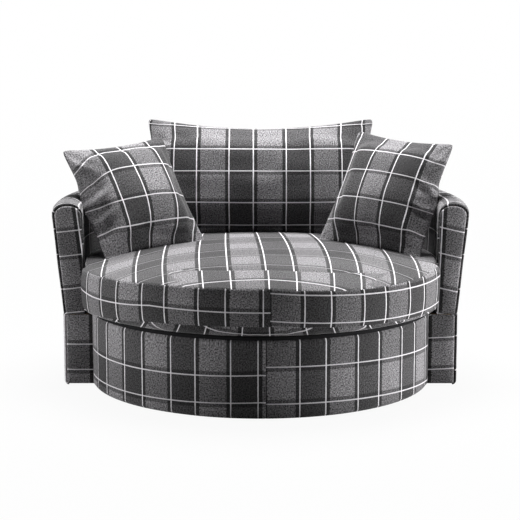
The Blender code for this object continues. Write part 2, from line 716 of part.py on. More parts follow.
def make_pillow(name, size, pull, bow, cells, materials, parent):
    """A pillow: a cover with a zip along its lower edge, over its filling."""
    cloth, filling, trim = materials
    cover = pillow_form(f"{name}_cover", size, pull, bow, cells, 0, cloth, parent)
    inset = 1.5 * COVER_THICKNESS      # the knife edge holds more cloth and wadding
    cavity = pillow_form(f"{name}_cavity", size, pull, bow, cells, inset, filling, cover)
    pillow_form(f"{name}_filling", size, pull, bow, cells, inset + 2 * GAP, filling, cover)
    edge = pull - size[2] / 2
    length = ZIP_SHARE * size[0] / 2
    slot_size = (length, ZIP_THICKNESS, 2 * (OVERRUN + inset))
    slot = zip_box(f"{name}_slot", slot_size, (0, 0, edge), trim, cover)
    hollow_out(cover, cavity, slot)
    tape_size = (length - 2 * GAP, ZIP_THICKNESS - 2 * GAP, inset / 2)
    zip_box(f"{name}_zip", tape_size, (0, 0, edge + inset / 2), trim, cover)
    return cover


def surface_tree(obj):
    bpy.context.view_layer.update()
    mesh = bmesh.new()
    mesh.from_mesh(obj.data)
    mesh.transform(obj.matrix_world)
    tree = BVHTree.FromBMesh(mesh)
    points = [vert.co.copy() for vert in mesh.verts]
    mesh.free()
    return tree, points


def rest_on(piece, supports, direction):
    """Moves the piece along the direction until it meets the first support, but for the gap."""
    direction = Vector(direction).normalized()
    tree, points = surface_tree(piece)
    distances = []
    for support in supports:
        other_tree, other_points = surface_tree(support)
        for cast_tree, cast_points, way in ((other_tree, points, direction), (tree, other_points, -direction)):
            for point in cast_points:
                distance = cast_tree.ray_cast(point, way)[3]
                if distance is not None:
                    distances.append(distance)
    piece.location += direction * min(distances)
    trees = [surface_tree(support)[0] for support in supports]
    for _ in range(BACK_OFF_STEPS):
        tree = surface_tree(piece)[0]
        piece.location -= direction * SOFT_GAP
        if not any(tree.overlap(other) for other in trees):
            break


def loose_cushions(cloth, foam, filling, trim, seat, barrel):
    """The loose cushions, each set down on the seat cushion and pushed back against the barrel."""
    seat_cover = make_seat_cushion(cloth, foam, trim, seat)
    materials = (cloth, filling, trim)

    size = (BACK_CUSHION_WIDTH, BACK_CUSHION_DEPTH, BACK_CUSHION_HEIGHT)
    back = make_pillow("back_cushion", size, BACK_CUSHION_PULL, BACK_CUSHION_BOW, (14, 8), materials, seat)
    back.rotation_euler.x = -BACK_CUSHION_LEAN
    back.location = (0, CENTRE_Y + WELL_RADIUS / 2, SEAT_CROWN_HEIGHT + BACK_CUSHION_HEIGHT / 2)
    backward = (0, 1, 0)
    down_the_lean = (0, -math.sin(BACK_CUSHION_LEAN), -math.cos(BACK_CUSHION_LEAN))
    for direction in ((0, 0, -1), backward, down_the_lean, backward, down_the_lean):
        rest_on(back, [seat_cover, barrel], direction)

    size = (PILLOW_SIZE, PILLOW_DEPTH, PILLOW_SIZE)
    for side, name, lean_back in ((-1, "left", LEFT_PILLOW_LEAN), (1, "right", RIGHT_PILLOW_LEAN)):
        pillow = make_pillow(f"{name}_pillow", size, PILLOW_PULL, 0, (10, 10), materials, seat)
        turn = Matrix.Rotation(-side * PILLOW_YAW, 4, "Z")
        lean = Matrix.Rotation(-lean_back, 4, "X")
        roll = Matrix.Rotation(side * PILLOW_ROLL, 4, "Y")
        pillow.rotation_euler = (turn @ lean @ roll).to_euler()
        height = SEAT_CROWN_HEIGHT + PILLOW_SIZE / 2
        pillow.location = (side * PILLOW_SIDE, CENTRE_Y + PILLOW_BACK, height)
        backward = turn @ Vector((0, 1, 0))
        for direction in ((0, 0, -1), backward, (0, 0, -1)):
            rest_on(pillow, [seat_cover, barrel, back], direction)


def make_empty(name, parent=None, location=(0, 0, 0)):
    empty = bpy.data.objects.new(name, None)
    parts.objects.link(empty)
    empty.parent = parent
    empty.location = location
    return empty


def main():
    clear_scene()
    cloth = make_material("plaid_cloth", (0.085, 0.084, 0.088), 0.95)
    deck_cloth = make_material("deck_cloth", (0.02, 0.02, 0.02), 0.95)
    foam = make_material("foam", (0.75, 0.68, 0.42), 0.9)
    filling = make_material("fibre_filling", (0.85, 0.85, 0.83), 1.0)
    trim = make_material("zip_tape", (0.02, 0.02, 0.022), 0.7)
    wood = make_material("plywood", (0.55, 0.38, 0.22), 0.6)
    board = make_material("bent_panel", (0.32, 0.22, 0.14), 0.7)
    steel = make_material("black_steel", (0.03, 0.03, 0.03), 0.45, 0.8)
    nylon = make_material("nylon", (0.05, 0.05, 0.05), 0.5)

    base = make_empty("floor_base")
    chair = make_empty("chair_swivel")
    for i in range(4):
        base_arm(i, steel, nylon, base)
    swivel_bearing(steel, base, chair)
    lower_frame(wood, board, deck_cloth, chair)
    seat_springs(steel, chair)
    upper_frame(wood, board, chair)
    fixed_upholstery(cloth, deck_cloth, chair)
    seat = make_empty("seat_lift", chair)
    loose_cushions(cloth, foam, filling, trim, seat, parts.objects["inside_cover"])


main()
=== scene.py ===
import math

import bmesh
import bpy
import numpy as np
from mathutils import Matrix, Vector, noise
from mathutils.bvhtree import BVHTree


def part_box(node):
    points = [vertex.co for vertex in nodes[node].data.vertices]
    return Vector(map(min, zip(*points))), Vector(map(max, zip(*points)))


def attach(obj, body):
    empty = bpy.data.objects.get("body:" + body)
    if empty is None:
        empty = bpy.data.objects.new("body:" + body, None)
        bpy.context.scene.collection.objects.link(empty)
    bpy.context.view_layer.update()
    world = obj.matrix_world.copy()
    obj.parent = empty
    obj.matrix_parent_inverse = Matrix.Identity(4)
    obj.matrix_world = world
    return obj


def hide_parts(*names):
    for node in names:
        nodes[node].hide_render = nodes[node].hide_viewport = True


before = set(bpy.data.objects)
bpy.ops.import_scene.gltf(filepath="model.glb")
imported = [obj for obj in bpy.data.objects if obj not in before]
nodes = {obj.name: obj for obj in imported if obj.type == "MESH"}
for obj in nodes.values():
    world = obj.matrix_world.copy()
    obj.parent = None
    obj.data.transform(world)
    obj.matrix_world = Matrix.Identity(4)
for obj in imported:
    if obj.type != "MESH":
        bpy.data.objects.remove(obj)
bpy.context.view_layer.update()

scene = bpy.context.scene
scene.view_settings.view_transform = "Standard"

# the barrel, as the frame has it: every curved part lies round one upright line
plan = {
    "topRadius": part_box("outside_cover")[1].x,
    "baseRadius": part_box("lower_shell_cover")[1].x,
    "well": 0.6195,              # inside face at the seat
    "flare": 0.0075,             # how much wider it is at the arm
    "seamZ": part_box("outside_cover")[0].z,
    "rollZ": 0.598,              # where the rounded top of the arm starts
    "roll": 0.034, "rollSteps": 30, "rollPower": 0.92,
    "rise": 0.028,               # how much higher the back is than the arms
    "floorZ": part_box("drum_cover")[0].z,
    "armFront": 0.130,           # the arms' front faces, ahead of the upright line
    "frontPad": 0.014,
    "clearance": 0.0003,         # between a cover and what it meets
    "seamGap": 0.0006,           # between the covers above and below a seam
    "foot": ((0.008, 0), (0.003, 0.001), (0, 0.005)),    # how a lower edge turns in: inward, upward
    "edge": 0.009,               # rounding of the covers at the seam
}
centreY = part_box("outside_cover")[1].y - plan["topRadius"]


print("camera and light")

photoView = {
    "place": (0, -6.0455, 1.445),
    "tiltDown": math.radians(9.65),
    "lens": 120.25,
    "shift": -0.5 / 520,         # half a pixel of the photograph
}
studio = {
    "worldLight": 0.04,
    "lamps": {
        "overhead": {"place": (0, 0.70, 2.9), "size": (1.8, 1.8), "power": 205},
        "left_side": {"place": (-3.0, -0.35, 0.5), "size": (1.2, 0.3), "power": 60},
        "right_side": {"place": (3.0, -0.35, 0.5), "size": (1.2, 0.3), "power": 120},
    },
    "aim": (0, 0, 0.35),
    "floorColour": 0.45, "floorSize": 60,
    "floorShade": 0.07, "shadeFade": 0.4,         # the chair's shadow in the camera's white floor
}


def addCamera(values):
    data = bpy.data.cameras.new("camera")
    data.lens = values["lens"]
    data.shift_x = values["shift"]
    camera = bpy.data.objects.new("camera", data)
    camera.location = values["place"]
    camera.rotation_euler = (math.pi / 2 - values["tiltDown"], 0, 0)
    scene.collection.objects.link(camera)
    scene.camera = camera


class Value:
    # a number that changes over a surface: sums on it add Math nodes
    def __init__(self, node, output=0):
        self.node, self.socket, self.tree = node, node.outputs[output], node.id_data

    def out(self, output):
        return Value(self.node, output)

    def math(self, operation, *values):
        return addNode(self.tree, "ShaderNodeMath", {"operation": operation}, dict(enumerate(values)))

    def __add__(self, other):
        return self.math("ADD", self, other)

    def __sub__(self, other):
        return self.math("SUBTRACT", self, other)

    def __rsub__(self, other):
        return self.math("SUBTRACT", other, self)

    def __mul__(self, other):
        return self.math("MULTIPLY", self, other)

    def __truediv__(self, other):
        return self.math("DIVIDE", self, other)

    def __rtruediv__(self, other):
        return self.math("DIVIDE", other, self)

    __radd__ = __add__
    __rmul__ = __mul__


def addNode(tree, kind, settings=None, inputs=None, output=0):
    node = tree.nodes.new(kind)
    for name, value in (settings or {}).items():
        if name == "stops":
            setStops(node.color_ramp, value)
        else:
            setattr(node, name, value)
    for name, value in (inputs or {}).items():
        if isinstance(value, Value):
            tree.links.new(value.socket, node.inputs[name])
        else:
            node.inputs[name].default_value = value
    return Value(node, output)


def setStops(ramp, stops):
    # each stop is a place, a grey and how much of the white thread it holds
    while len(ramp.elements) < len(stops):
        ramp.elements.new(1)
    for element, (place, grey, thread) in zip(ramp.elements, stops):
        element.position = place
        element.color = (grey, grey, grey, thread)


def mixColour(tree, factor, first, second, blend="MIX"):
    settings = {"data_type": "RGBA", "blend_type": blend}
    return addNode(tree, "ShaderNodeMix", settings, {0: factor, 6: first, 7: second}, 2)


def newMaterial(name, **constants):
    material = bpy.data.materials.new(name)
    material.use_nodes = True
    shader = material.node_tree.nodes["Principled BSDF"]
    for socket, value in constants.items():
        shader.inputs[socket.replace("_", " ")].default_value = value
    return material, material.node_tree, shader


def plug(tree, shader, **values):
    for socket, value in values.items():
        tree.links.new(value.socket, shader.inputs[socket.replace("_", " ")])


def addLights(values):
    world = bpy.data.worlds.new("studio")
    scene.world = world
    world.use_nodes = True
    tree = world.node_tree
    path = addNode(tree, "ShaderNodeLightPath")
    seen = path.math("MAXIMUM", path.out("Is Camera Ray"), path.out("Is Transmission Ray"))
    strength = seen * (1 - values["worldLight"]) + values["worldLight"]
    background = tree.nodes["Background"]
    background.inputs["Color"].default_value = (1, 1, 1, 1)
    tree.links.new(strength.socket, background.inputs["Strength"])

    for name, lampValues in values["lamps"].items():
        lamp = bpy.data.lights.new(name, "AREA")
        lamp.shape = "RECTANGLE"
        lamp.size, lamp.size_y = lampValues["size"]
        lamp.energy = lampValues["power"]
        obj = bpy.data.objects.new(name, lamp)
        obj.location = lampValues["place"]
        aim = Vector(values["aim"]) - obj.location
        obj.rotation_euler = aim.to_track_quat("-Z", "Y").to_euler()
        scene.collection.objects.link(obj)

    # a pale floor that shows white to the camera and keeps the chair's shadow
    mesh = bmesh.new()
    bmesh.ops.create_grid(mesh, x_segments=2, y_segments=2, size=values["floorSize"])
    floor = newObject("floor", mesh)
    material, tree, shader = newMaterial("floor", Roughness=0.9)
    shader.inputs["Base Color"].default_value = (*[values["floorColour"]] * 3, 1)
    glow = addNode(tree, "ShaderNodeEmission", None, {"Color": (1, 1, 1, 1), "Strength": 1.0})
    path = addNode(tree, "ShaderNodeLightPath")
    place = addNode(tree, "ShaderNodeTexCoord").out("Object")
    away = addNode(tree, "ShaderNodeVectorMath", {"operation": "LENGTH"}, {0: place}, "Value")
    shade = values["floorShade"] / (1 + away * away * values["shadeFade"])
    mix = addNode(tree, "ShaderNodeMixShader", None, {0: path.out("Is Camera Ray") * (1 - shade)})
    tree.links.new(shader.outputs["BSDF"], mix.node.inputs[1])
    tree.links.new(glow.socket, mix.node.inputs[2])
    tree.links.new(mix.socket, tree.nodes["Material Output"].inputs["Surface"])
    floor.data.materials.append(material)


def newObject(name, mesh, material=None):
    data = bpy.data.meshes.new(name)
    mesh.to_mesh(data)
    mesh.free()
    data.shade_smooth()
    obj = bpy.data.objects.new(name, data)
    scene.collection.objects.link(obj)
    if material:
        data.materials.append(material)
    return obj


addCamera(photoView)
addLights(studio)


print("cloth and other finishes")

plaid = {
    "repeat": 0.2110,
    "light": 0.1215,             # from white line to white line across the light band
    "line": 0.0037,
    "strip": 0.0125,             # the dark strip inside each edge of the light band
    "edge": 0.0006,
    "lightGrey": 0.205,
    "warpDark": 0.30, "warpStrip": 0.16,
    "weftDark": 0.60, "weftStrip": 0.42,
    "warpThread": 0.92, "weftThread": 0.74,
    "topShadeThread": 0.42,          # how much greyer the weft's white lines are painted on the seat's top: painted shade against the strong overhead light there
    "blackest": 0.008,
    "tint": (1.0, 0.972, 1.01, 1),
    "stray": 0.00035,            # how far the bands' edges wander
    "twillPitch": 0.0022,
    # wool flecks: their size across and along, and their detail
    "flecks": {
        "stray": (0.004, 0.009, 1), "warp": (0.0011, 0.009, 2), "weft": (0.009, 0.0011, 2),
        "mottle": (0.0044, 0.0048, 2), "drift": (0.045, 0.060, 2),
    },
    "grain": {"drift": 0.06, "threads": 0.25, "twill": 0.08},
    # how well the white threads cover what lies under them, and how unevenly
    "warpCover": (0.86, 0.08), "weftCover": (0.88, 0.10),
    "relief": 0.0007, "reliefShares": {"twill": 0.25, "threads": 0.35, "mottle": 0.3},
}


def settStops(values, dark, strip):
    # greys across one repeat, from the middle of the white line that starts the light band
    half = values["line"] / 2
    light, repeat, edge = values["light"], values["repeat"], values["edge"]
    bands = [
        (half, 1, 1), (half + values["strip"], strip, 0), (light - half - values["strip"], 1, 0),
        (light - half, strip, 0), (light + half, 1, 1), (repeat - half, dark, 0), (repeat, 1, 1),
    ]
    stops = [(0, 1, 1)]
    for (end, grey, thread), (_, nextGrey, nextThread) in zip(bands, bands[1:]):
        stops.append(((end - edge / 2) / repeat, grey, thread))
        stops.append(((end + edge / 2) / repeat, nextGrey, nextThread))
    return stops + [(1, 1, 1)]


def sineOf(tree, value, pitch):
    return addNode(tree, "ShaderNodeMath", {"operation": "SINE"}, {0: value * (2 * math.pi / pitch)})


def bumpOf(tree, height, distance, strength):
    inputs = {"Strength": strength, "Distance": distance, "Height": height}
    return addNode(tree, "ShaderNodeBump", None, inputs)


def rangeOf(tree, value, low, high):
    return addNode(tree, "ShaderNodeMapRange", None, {"Value": value, "From Min": low, "From Max": high})


def noiseOf(tree, place, scale, detail):
    return addNode(tree, "ShaderNodeTexNoise", None, {"Vector": place, "Scale": scale, "Detail": detail})


def roughOver(mask, roughness, spread=0.1):
    # the roughness rises from the first colour's specks to the second's
    return mask * spread + (roughness - spread / 2)


def makePlaid(name, values):
    material, tree, shader = newMaterial(
        name, Roughness=0.92, Sheen_Weight=0.15, Sheen_Roughness=0.45, Specular_IOR_Level=0.25)
    place = addNode(tree, "ShaderNodeUVMap", {"uv_map": "cloth"})
    apart = addNode(tree, "ShaderNodeSeparateXYZ", None, {0: place})
    across, along = apart.out("X"), apart.out("Y")

    def speckle(sizeAcross, sizeAlong, detail):
        # a number from about -1 to 1
        sizes = {0: across / sizeAcross, 1: along / sizeAlong}
        scaled = addNode(tree, "ShaderNodeCombineXYZ", None, sizes)
        specked = addNode(tree, "ShaderNodeTexNoise", {"noise_dimensions": "2D"},
                          {"Vector": scaled, "Scale": 1.0, "Detail": detail, "Roughness": 0.6})
        return (specked - 0.5) * 4

    flecks = {kind: speckle(*size) for kind, size in values["flecks"].items()}
    wobble = flecks["stray"] * values["stray"]
    setts = []
    for coordinate, dark, strip in (
        (across, values["warpDark"], values["warpStrip"]),
        (along, values["weftDark"], values["weftStrip"]),
    ):
        phase = addNode(tree, "ShaderNodeMath", {"operation": "FRACT"},
                        {0: (coordinate + wobble) / values["repeat"]})
        stops = settStops(values, dark, strip)
        setts.append(addNode(tree, "ShaderNodeValToRGB", {"stops": stops}, {0: phase}))
    warp, weft = setts
    threads = flecks["warp"] + flecks["weft"]
    twill = sineOf(tree, across + along, values["twillPitch"])

    # the ground of the cloth, then the weft's white threads over it, then the warp's
    shares = values["grain"]
    grain = 1 + flecks["mottle"] + flecks["drift"] * shares["drift"]
    grain = grain + threads * shares["threads"] + twill * shares["twill"]
    body = warp * weft * grain * values["lightGrey"]
    body = body.math("MAXIMUM", body, values["blackest"])
    cover, uneven = values["warpCover"]
    warpCover = warp.out("Alpha") * (cover + flecks["weft"] * uneven)
    cover, uneven = values["weftCover"]
    weftCover = weft.out("Alpha") * (1 - warp.out("Alpha")) * (cover + flecks["warp"] * uneven)
    # painted shade on the seat's top: its weft lines are painted greyer there, against the overhead light
    worn = addNode(tree, "ShaderNodeAttribute", {"attribute_name": "worn"}, None, "Fac")
    grey = body + weftCover * (values["weftThread"] - worn * values["topShadeThread"] - body)
    grey = grey + warpCover * (values["warpThread"] - grey)
    colour = mixColour(tree, 1.0, grey, values["tint"], "MULTIPLY")
    shares = values["reliefShares"]
    height = twill * shares["twill"] + threads * shares["threads"] + flecks["mottle"] * shares["mottle"]
    plug(tree, shader, Base_Color=colour, Normal=bumpOf(tree, height, values["relief"], 0.35))
    return material


speckled = {"broad": 9.0, "broadShare": 0.25, "from": 0.35, "to": 0.65, "bump": 0.5}
woven = {"threads": 0.25, "wear": 60.0, "from": 0.2, "to": 0.8, "relief": 0.0004, "bump": 0.4}


def makeSpeckled(name, colours, size, roughness, relief, stretch=(1, 1, 1), metallic=0.0, **constants):
    # a finish of two colours in specks, with a bump of the same size
    material, tree, shader = newMaterial(name, Metallic=metallic, **constants)
    place = addNode(tree, "ShaderNodeTexCoord").out("Object")
    scaled = addNode(tree, "ShaderNodeMapping", None, {"Vector": place, "Scale": [s / size for s in stretch]})
    fine = noiseOf(tree, scaled, 1.0, 4.0)
    broad = noiseOf(tree, place, speckled["broad"], 2.0)
    mixed = fine * (1 - speckled["broadShare"]) + broad * speckled["broadShare"]
    mask = rangeOf(tree, mixed, speckled["from"], speckled["to"])
    shade = mixColour(tree, mask, *[(*colour, 1) for colour in colours])
    bump = bumpOf(tree, fine, relief, speckled["bump"])
    plug(tree, shader, Base_Color=shade, Roughness=roughOver(mask, roughness), Normal=bump)
    return material


def makeWeave(name, colours, pitch, roughness, **constants):
    # a plain woven cloth of one colour: crossed threads, with a little wear
    material, tree, shader = newMaterial(name, Sheen_Roughness=0.5, **constants)
    place = addNode(tree, "ShaderNodeTexCoord").out("Object")
    apart = addNode(tree, "ShaderNodeSeparateXYZ", None, {0: place})
    waves = [sineOf(tree, apart.out(axis), pitch) for axis in ("X", "Y", "Z")]
    threads = waves[0] * waves[1] + waves[1] * waves[2] + waves[2] * waves[0]
    worn = threads * woven["threads"] + noiseOf(tree, place, woven["wear"], 4.0)
    mask = rangeOf(tree, worn, woven["from"], woven["to"])
    shade = mixColour(tree, mask, *[(*colour, 1) for colour in colours])
    bump = bumpOf(tree, threads, woven["relief"], woven["bump"])
    plug(tree, shader, Base_Color=shade, Roughness=roughOver(mask, roughness), Normal=bump)
    return material


weaves = {
    "deck_cloth": {"colours": ((0.006, 0.006, 0.007), (0.014, 0.014, 0.015)),
                   "pitch": 0.0016, "roughness": 0.9, "Specular_IOR_Level": 0.1},
    "zip_tape": {"colours": ((0.014, 0.014, 0.015), (0.035, 0.035, 0.037)),
                 "pitch": 0.0012, "roughness": 0.7, "Sheen_Weight": 0.2},
}
specks = {
    "dust_cloth": {"colours": ((0.010, 0.010, 0.011), (0.028, 0.028, 0.030)),
                   "size": 0.0016, "roughness": 0.9, "relief": 0.0003},
    "foam": {"colours": ((0.66, 0.58, 0.33), (0.78, 0.71, 0.46)),
             "size": 0.0022, "roughness": 0.9, "relief": 0.0008},
    "fibre_filling": {"colours": ((0.72, 0.72, 0.70), (0.88, 0.88, 0.86)),
                      "size": 0.0060, "roughness": 0.95, "relief": 0.0020, "Sheen_Weight": 0.3},
    "plywood": {"colours": ((0.43, 0.28, 0.15), (0.62, 0.44, 0.26)),
                "size": 0.0040, "roughness": 0.62, "relief": 0.0003, "stretch": (1, 0.08, 1)},
    "fibreboard": {"colours": ((0.25, 0.165, 0.10), (0.36, 0.25, 0.16)),
                   "size": 0.0030, "roughness": 0.72, "relief": 0.0003},
    "coated_steel": {"colours": ((0.022, 0.022, 0.023), (0.040, 0.040, 0.042)),
                     "size": 0.0022, "roughness": 0.45, "relief": 0.0002, "metallic": 0.6},
    "spring_steel": {"colours": ((0.30, 0.30, 0.31), (0.48, 0.48, 0.49)),
                     "size": 0.0040, "roughness": 0.38, "relief": 0.0001, "metallic": 1.0},
    "nylon": {"colours": ((0.038, 0.038, 0.040), (0.060, 0.060, 0.062)),
              "size": 0.0018, "roughness": 0.5, "relief": 0.0002},
}
plaidCloth = makePlaid("plaid_cloth", plaid)
finishes = {name: makeWeave(name, **values) for name, values in weaves.items()}
finishes |= {name: makeSpeckled(name, **values) for name, values in specks.items()}


print("carried-over frame pieces")

finishOf = {
    "plywood": ("base_board", "seat_frame", "top_rail", "lower_front_post", "lower_rear_post", "upper_post"),
    "fibreboard": ("drum_panel", "lower_shell_panel", "inside_panel", "outside_panel"),
    "coated_steel": ("base_arm", "lower_plate", "upper_plate"),
    "spring_steel": ("ball_ring", "pivot_bolt", "pivot_nut", "seat_spring"),
    "nylon": ("floor_glide",),
    "zip_tape": ("seat_cushion_zip", "back_cushion_zip", "left_pillow_zip", "right_pillow_zip"),
}
for finishName, firstWords in finishOf.items():
    for nodeName, node in nodes.items():
        if nodeName.startswith(firstWords):
            node.data.materials.clear()
            node.data.materials.append(finishes[finishName])


print("fixed upholstery")

# a drawn seam, and how far to its sides the cloth has closer columns
groove = {"depth": 0.0022, "width": 0.0028, "marks": (0.0015, 0.0035, 0.006, 0.010), "reach": 0.014}


def clothMesh(name, points, cuts, isFlipped):
    # a grid of points[a][b], with cuts(a, b, i) the cloth's own measure at a corner of a cell in column i
    mesh = bmesh.new()
    layer = mesh.loops.layers.uv.new("cloth")
    verts = [[mesh.verts.new(point) for point in column] for column in points]
    for i in range(len(points) - 1):
        for j in range(len(points[0]) - 1):
            corners = [(i, j), (i + 1, j), (i + 1, j + 1), (i, j + 1)]
            if isFlipped:
                corners.reverse()
            face = mesh.faces.new([verts[a][b] for a, b in corners])
            for loop, (a, b) in zip(face.loops, corners):
                loop[layer].uv = cuts(a, b, i)
    return newObject(name, mesh, plaidCloth)


def thicken(obj, thickness):
    modifier = obj.modifiers.new("padding", "SOLIDIFY")
    modifier.thickness = thickness
    modifier.offset = -1
    modifier.use_even_offset = False


def finishPiece(obj, body, replaced):
    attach(obj, body)
    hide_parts(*replaced)


def clipped(value):
    return min(max(value, 0), 1)


def eased(share):
    return share * share * (3 - 2 * share)


def riseAt(share):
    return plan["rise"] * (1 - math.cos(2 * math.pi * share)) / 2


def onArc(radius, share, ahead, isRear):
    # a place on the barrel's or the drum's arc, which ends this far ahead of the upright line
    dip = math.asin(ahead / radius)
    if isRear:
        angle = -dip + (math.pi + 2 * dip) * share
    else:
        angle = math.pi + dip + (math.pi - 2 * dip) * share
    return angle, Vector((radius * math.cos(angle), centreY + radius * math.sin(angle), 0))


def marksAlong(count, seams, length):
    # shares along a panel, close together at each seam
    marks = [0, *groove["marks"], *(-mark for mark in groove["marks"])]
    near = [seam + away / length for seam in seams for away in marks]
    even = [i / count for i in range(count + 1)]
    even = [mark for mark in even if all(abs(mark - seam) * length > groove["reach"] for seam in seams)]
    return sorted(even + [mark for mark in near if 0 <= mark <= 1])


def grooveAt(share, seams, length):
    turns = [(share - seam) * length / groove["width"] for seam in seams]
    return sum(groove["depth"] * math.exp(-turn ** 2) for turn in turns)


def panelOf(share, seams):
    return sum(share > seam for seam in seams)


def barrelCover(name, values, section):
    # cloth that follows the barrel, along the radius and height that section(share) lists
    ahead = -plan["frontPad"] - plan["clearance"] if values["isRear"] else plan["clearance"]
    ahead += plan["armFront"]
    length = values["length"]
    turnedBack = values.get("turnedBack", math.inf)       # above this height the cloth's measure runs back
    shares = marksAlong(values["columns"], values["seams"], length)
    points, measures = [], []
    for share in shares:
        column, measure, far = [], [], 0
        last = None
        inward = grooveAt(share, values["seams"], length)
        for radius, height in section(share):
            angle, place = onArc(radius, share, ahead, values["isRear"])
            place.z = height
            out = Vector((math.cos(angle), math.sin(angle), 0))
            ripple = noise.noise(Vector((angle * 4, height * 9, values["seed"]))) * values["ripple"]
            side = values["side"](radius)
            column.append(place - out * side * inward + out * ripple)
            if last:
                far += math.hypot(radius - last[0], height - last[1])
            last = (radius, height)
            measure.append(far if turnedBack == math.inf else turnedBack - abs(height - turnedBack))
        points.append(column)
        measures.append(measure)

    def cuts(a, b, i):
        # a cut is where the panel starts, across and along, and how its weft bends away from the middle
        panel = panelOf((shares[i] + shares[i + 1]) / 2, values["seams"])
        across, along, *bend = values["cuts"][panel]
        arc = (shares[a] - 0.5) * length
        droop = sum(amount * abs(arc) ** (k + 1) for k, amount in enumerate(bend))
        droop *= min((turnedBack - measures[a][b]) / values.get("unbend", 1), 1)
        return (values["turn"] * arc - across, measures[a][b] - along + droop)

    obj = clothMesh(name, points, cuts, values["isFlipped"])
    thicken(obj, values["thickness"])
    return obj


def straight(start, end, count):
    return [tuple(a + (b - a) * k / count for a, b in zip(start, end)) for k in range(count + 1)]


def curl(centre, radii, first, last, count):
    # points round part of an ellipse, with angles in degrees
    turns = [math.radians(first + (last - first) * k / count) for k in range(count + 1)]
    return [(centre[0] + radii[0] * math.cos(a), centre[1] + radii[1] * math.sin(a)) for a in turns]


def footOf(radius, low):
    return [(radius - inward, low + upward) for inward, upward in plan["foot"]]


def leanAt(height, top):
    return (height - plan["seamZ"]) / (top - plan["seamZ"])


def innerRadius(height, top):
    return plan["well"] + plan["flare"] * leanAt(height, top)


def outerRadius(height, top):
    return plan["baseRadius"] + (plan["topRadius"] - plan["baseRadius"]) * leanAt(height, top)


def insideSection(share):
    # up the inside wall, over the arm and down to the seam with the outside cover
    top = plan["rollZ"] + riseAt(share)
    inner, outer = innerRadius(top, top), plan["topRadius"]
    wall = [(innerRadius(z, top), z) for _, z in straight((0, plan["seamZ"]), (0, top), 22)]
    middle, half = (inner + outer) / 2, (outer - inner) / 2
    over = []
    for k in range(1, plan["rollSteps"]):
        turn = math.pi * (1 - k / plan["rollSteps"])
        across = math.copysign(abs(math.cos(turn)) ** plan["rollPower"], math.cos(turn))
        over.append((middle + half * across, top + plan["roll"] * math.sin(turn) ** plan["rollPower"]))
    return wall + over + [(outer, top + 0.001), (outer - 0.003, top)]


def outsideSection(share):
    top = plan["rollZ"] + riseAt(share)
    low, high = plan["seamZ"] + plan["clearance"], top - plan["seamGap"]
    wall = [(outerRadius(z, top), z) for _, z in straight((0, low + 0.006), (0, high - 0.004), 16)]
    foot = [(plan["baseRadius"] - 0.006, low), (plan["baseRadius"] - 0.002, low + 0.002)]
    return foot + wall + [(plan["topRadius"] - 0.001, high - 0.0015), (plan["topRadius"] - 0.004, high)]


def lowerShellSection(share):
    radius, edge = plan["baseRadius"], plan["edge"]
    foot, high = footOf(radius, plan["floorZ"]), plan["seamZ"] - plan["seamGap"]
    return [*foot[:-1], *straight(foot[-1], (radius, high - edge - 0.001), 12),
            *curl((radius - edge, high - edge), (edge, edge), 10, 90, 5)]


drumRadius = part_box("drum_cover")[1].x
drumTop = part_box("drum_cover")[1].z


def drumSection(share):
    foot, edge = footOf(drumRadius, plan["floorZ"]), drum["edge"]
    return [*foot[:-1], *straight(foot[-1], (drumRadius, drumTop - edge - 0.002), 14),
            *curl((drumRadius - edge, drumTop - edge), (edge, edge), 8, 90, 8),
            (drumRadius - edge - 0.006, drumTop)]


# each cover's cuts give, from seam to seam, where its panel's cloth starts across and along
outerCover = {
    "isRear": True, "isFlipped": True, "turn": -1, "columns": 150, "seams": (0.27, 0.73),
    "thickness": 0.007, "side": lambda radius: 1,
}
inside = outerCover | {
    "isFlipped": False, "turn": 1, "columns": 170, "seams": (0.235, 0.765),
    "length": 2.23, "seed": 3.1, "ripple": 0.0012,
    "cuts": ((-0.005, 0.053), (0.0, 0.085), (0.1295, 0.033)),
    "side": lambda radius: -1 if radius < plan["well"] + 0.02 else 0.3,
}
outside = outerCover | {
    "length": 2.55, "seed": 7.4, "ripple": 0.0012,
    "cuts": ((0.02, 0.09), (0.0, 0.09), (0.05, 0.09)),
}
lowerShell = outerCover | {
    "length": 2.45, "seed": 9.2, "ripple": 0.0008,
    "cuts": ((0.06, 0.05), (0.01, 0.05), (0.04, 0.05)),
}
drum = outerCover | {
    "isRear": False, "turn": 1, "columns": 130, "seams": (0.511,),
    "length": 1.62, "seed": 5.6, "ripple": 0.0010, "edge": 0.016,
    "cuts": ((-0.219, 0.1511, 0.0416, -0.031), (0.219, 0.056, 0, 0.0432)),
    "turnedBack": 0.250, "unbend": 0.04,
}
covers = {
    "inside_upholstery": (inside, insideSection, "inside_cover"),
    "outside_upholstery": (outside, outsideSection, "outside_cover"),
    "lower_shell_upholstery": (lowerShell, lowerShellSection, "lower_shell_cover"),
    "drum_upholstery": (drum, drumSection, "drum_cover"),
}
made = {}
for pieceName, (values, section, nodeName) in covers.items():
    made[nodeName] = barrelCover(pieceName, values, section)
    finishPiece(made[nodeName], "chair", [nodeName])


print("arm and base fronts")

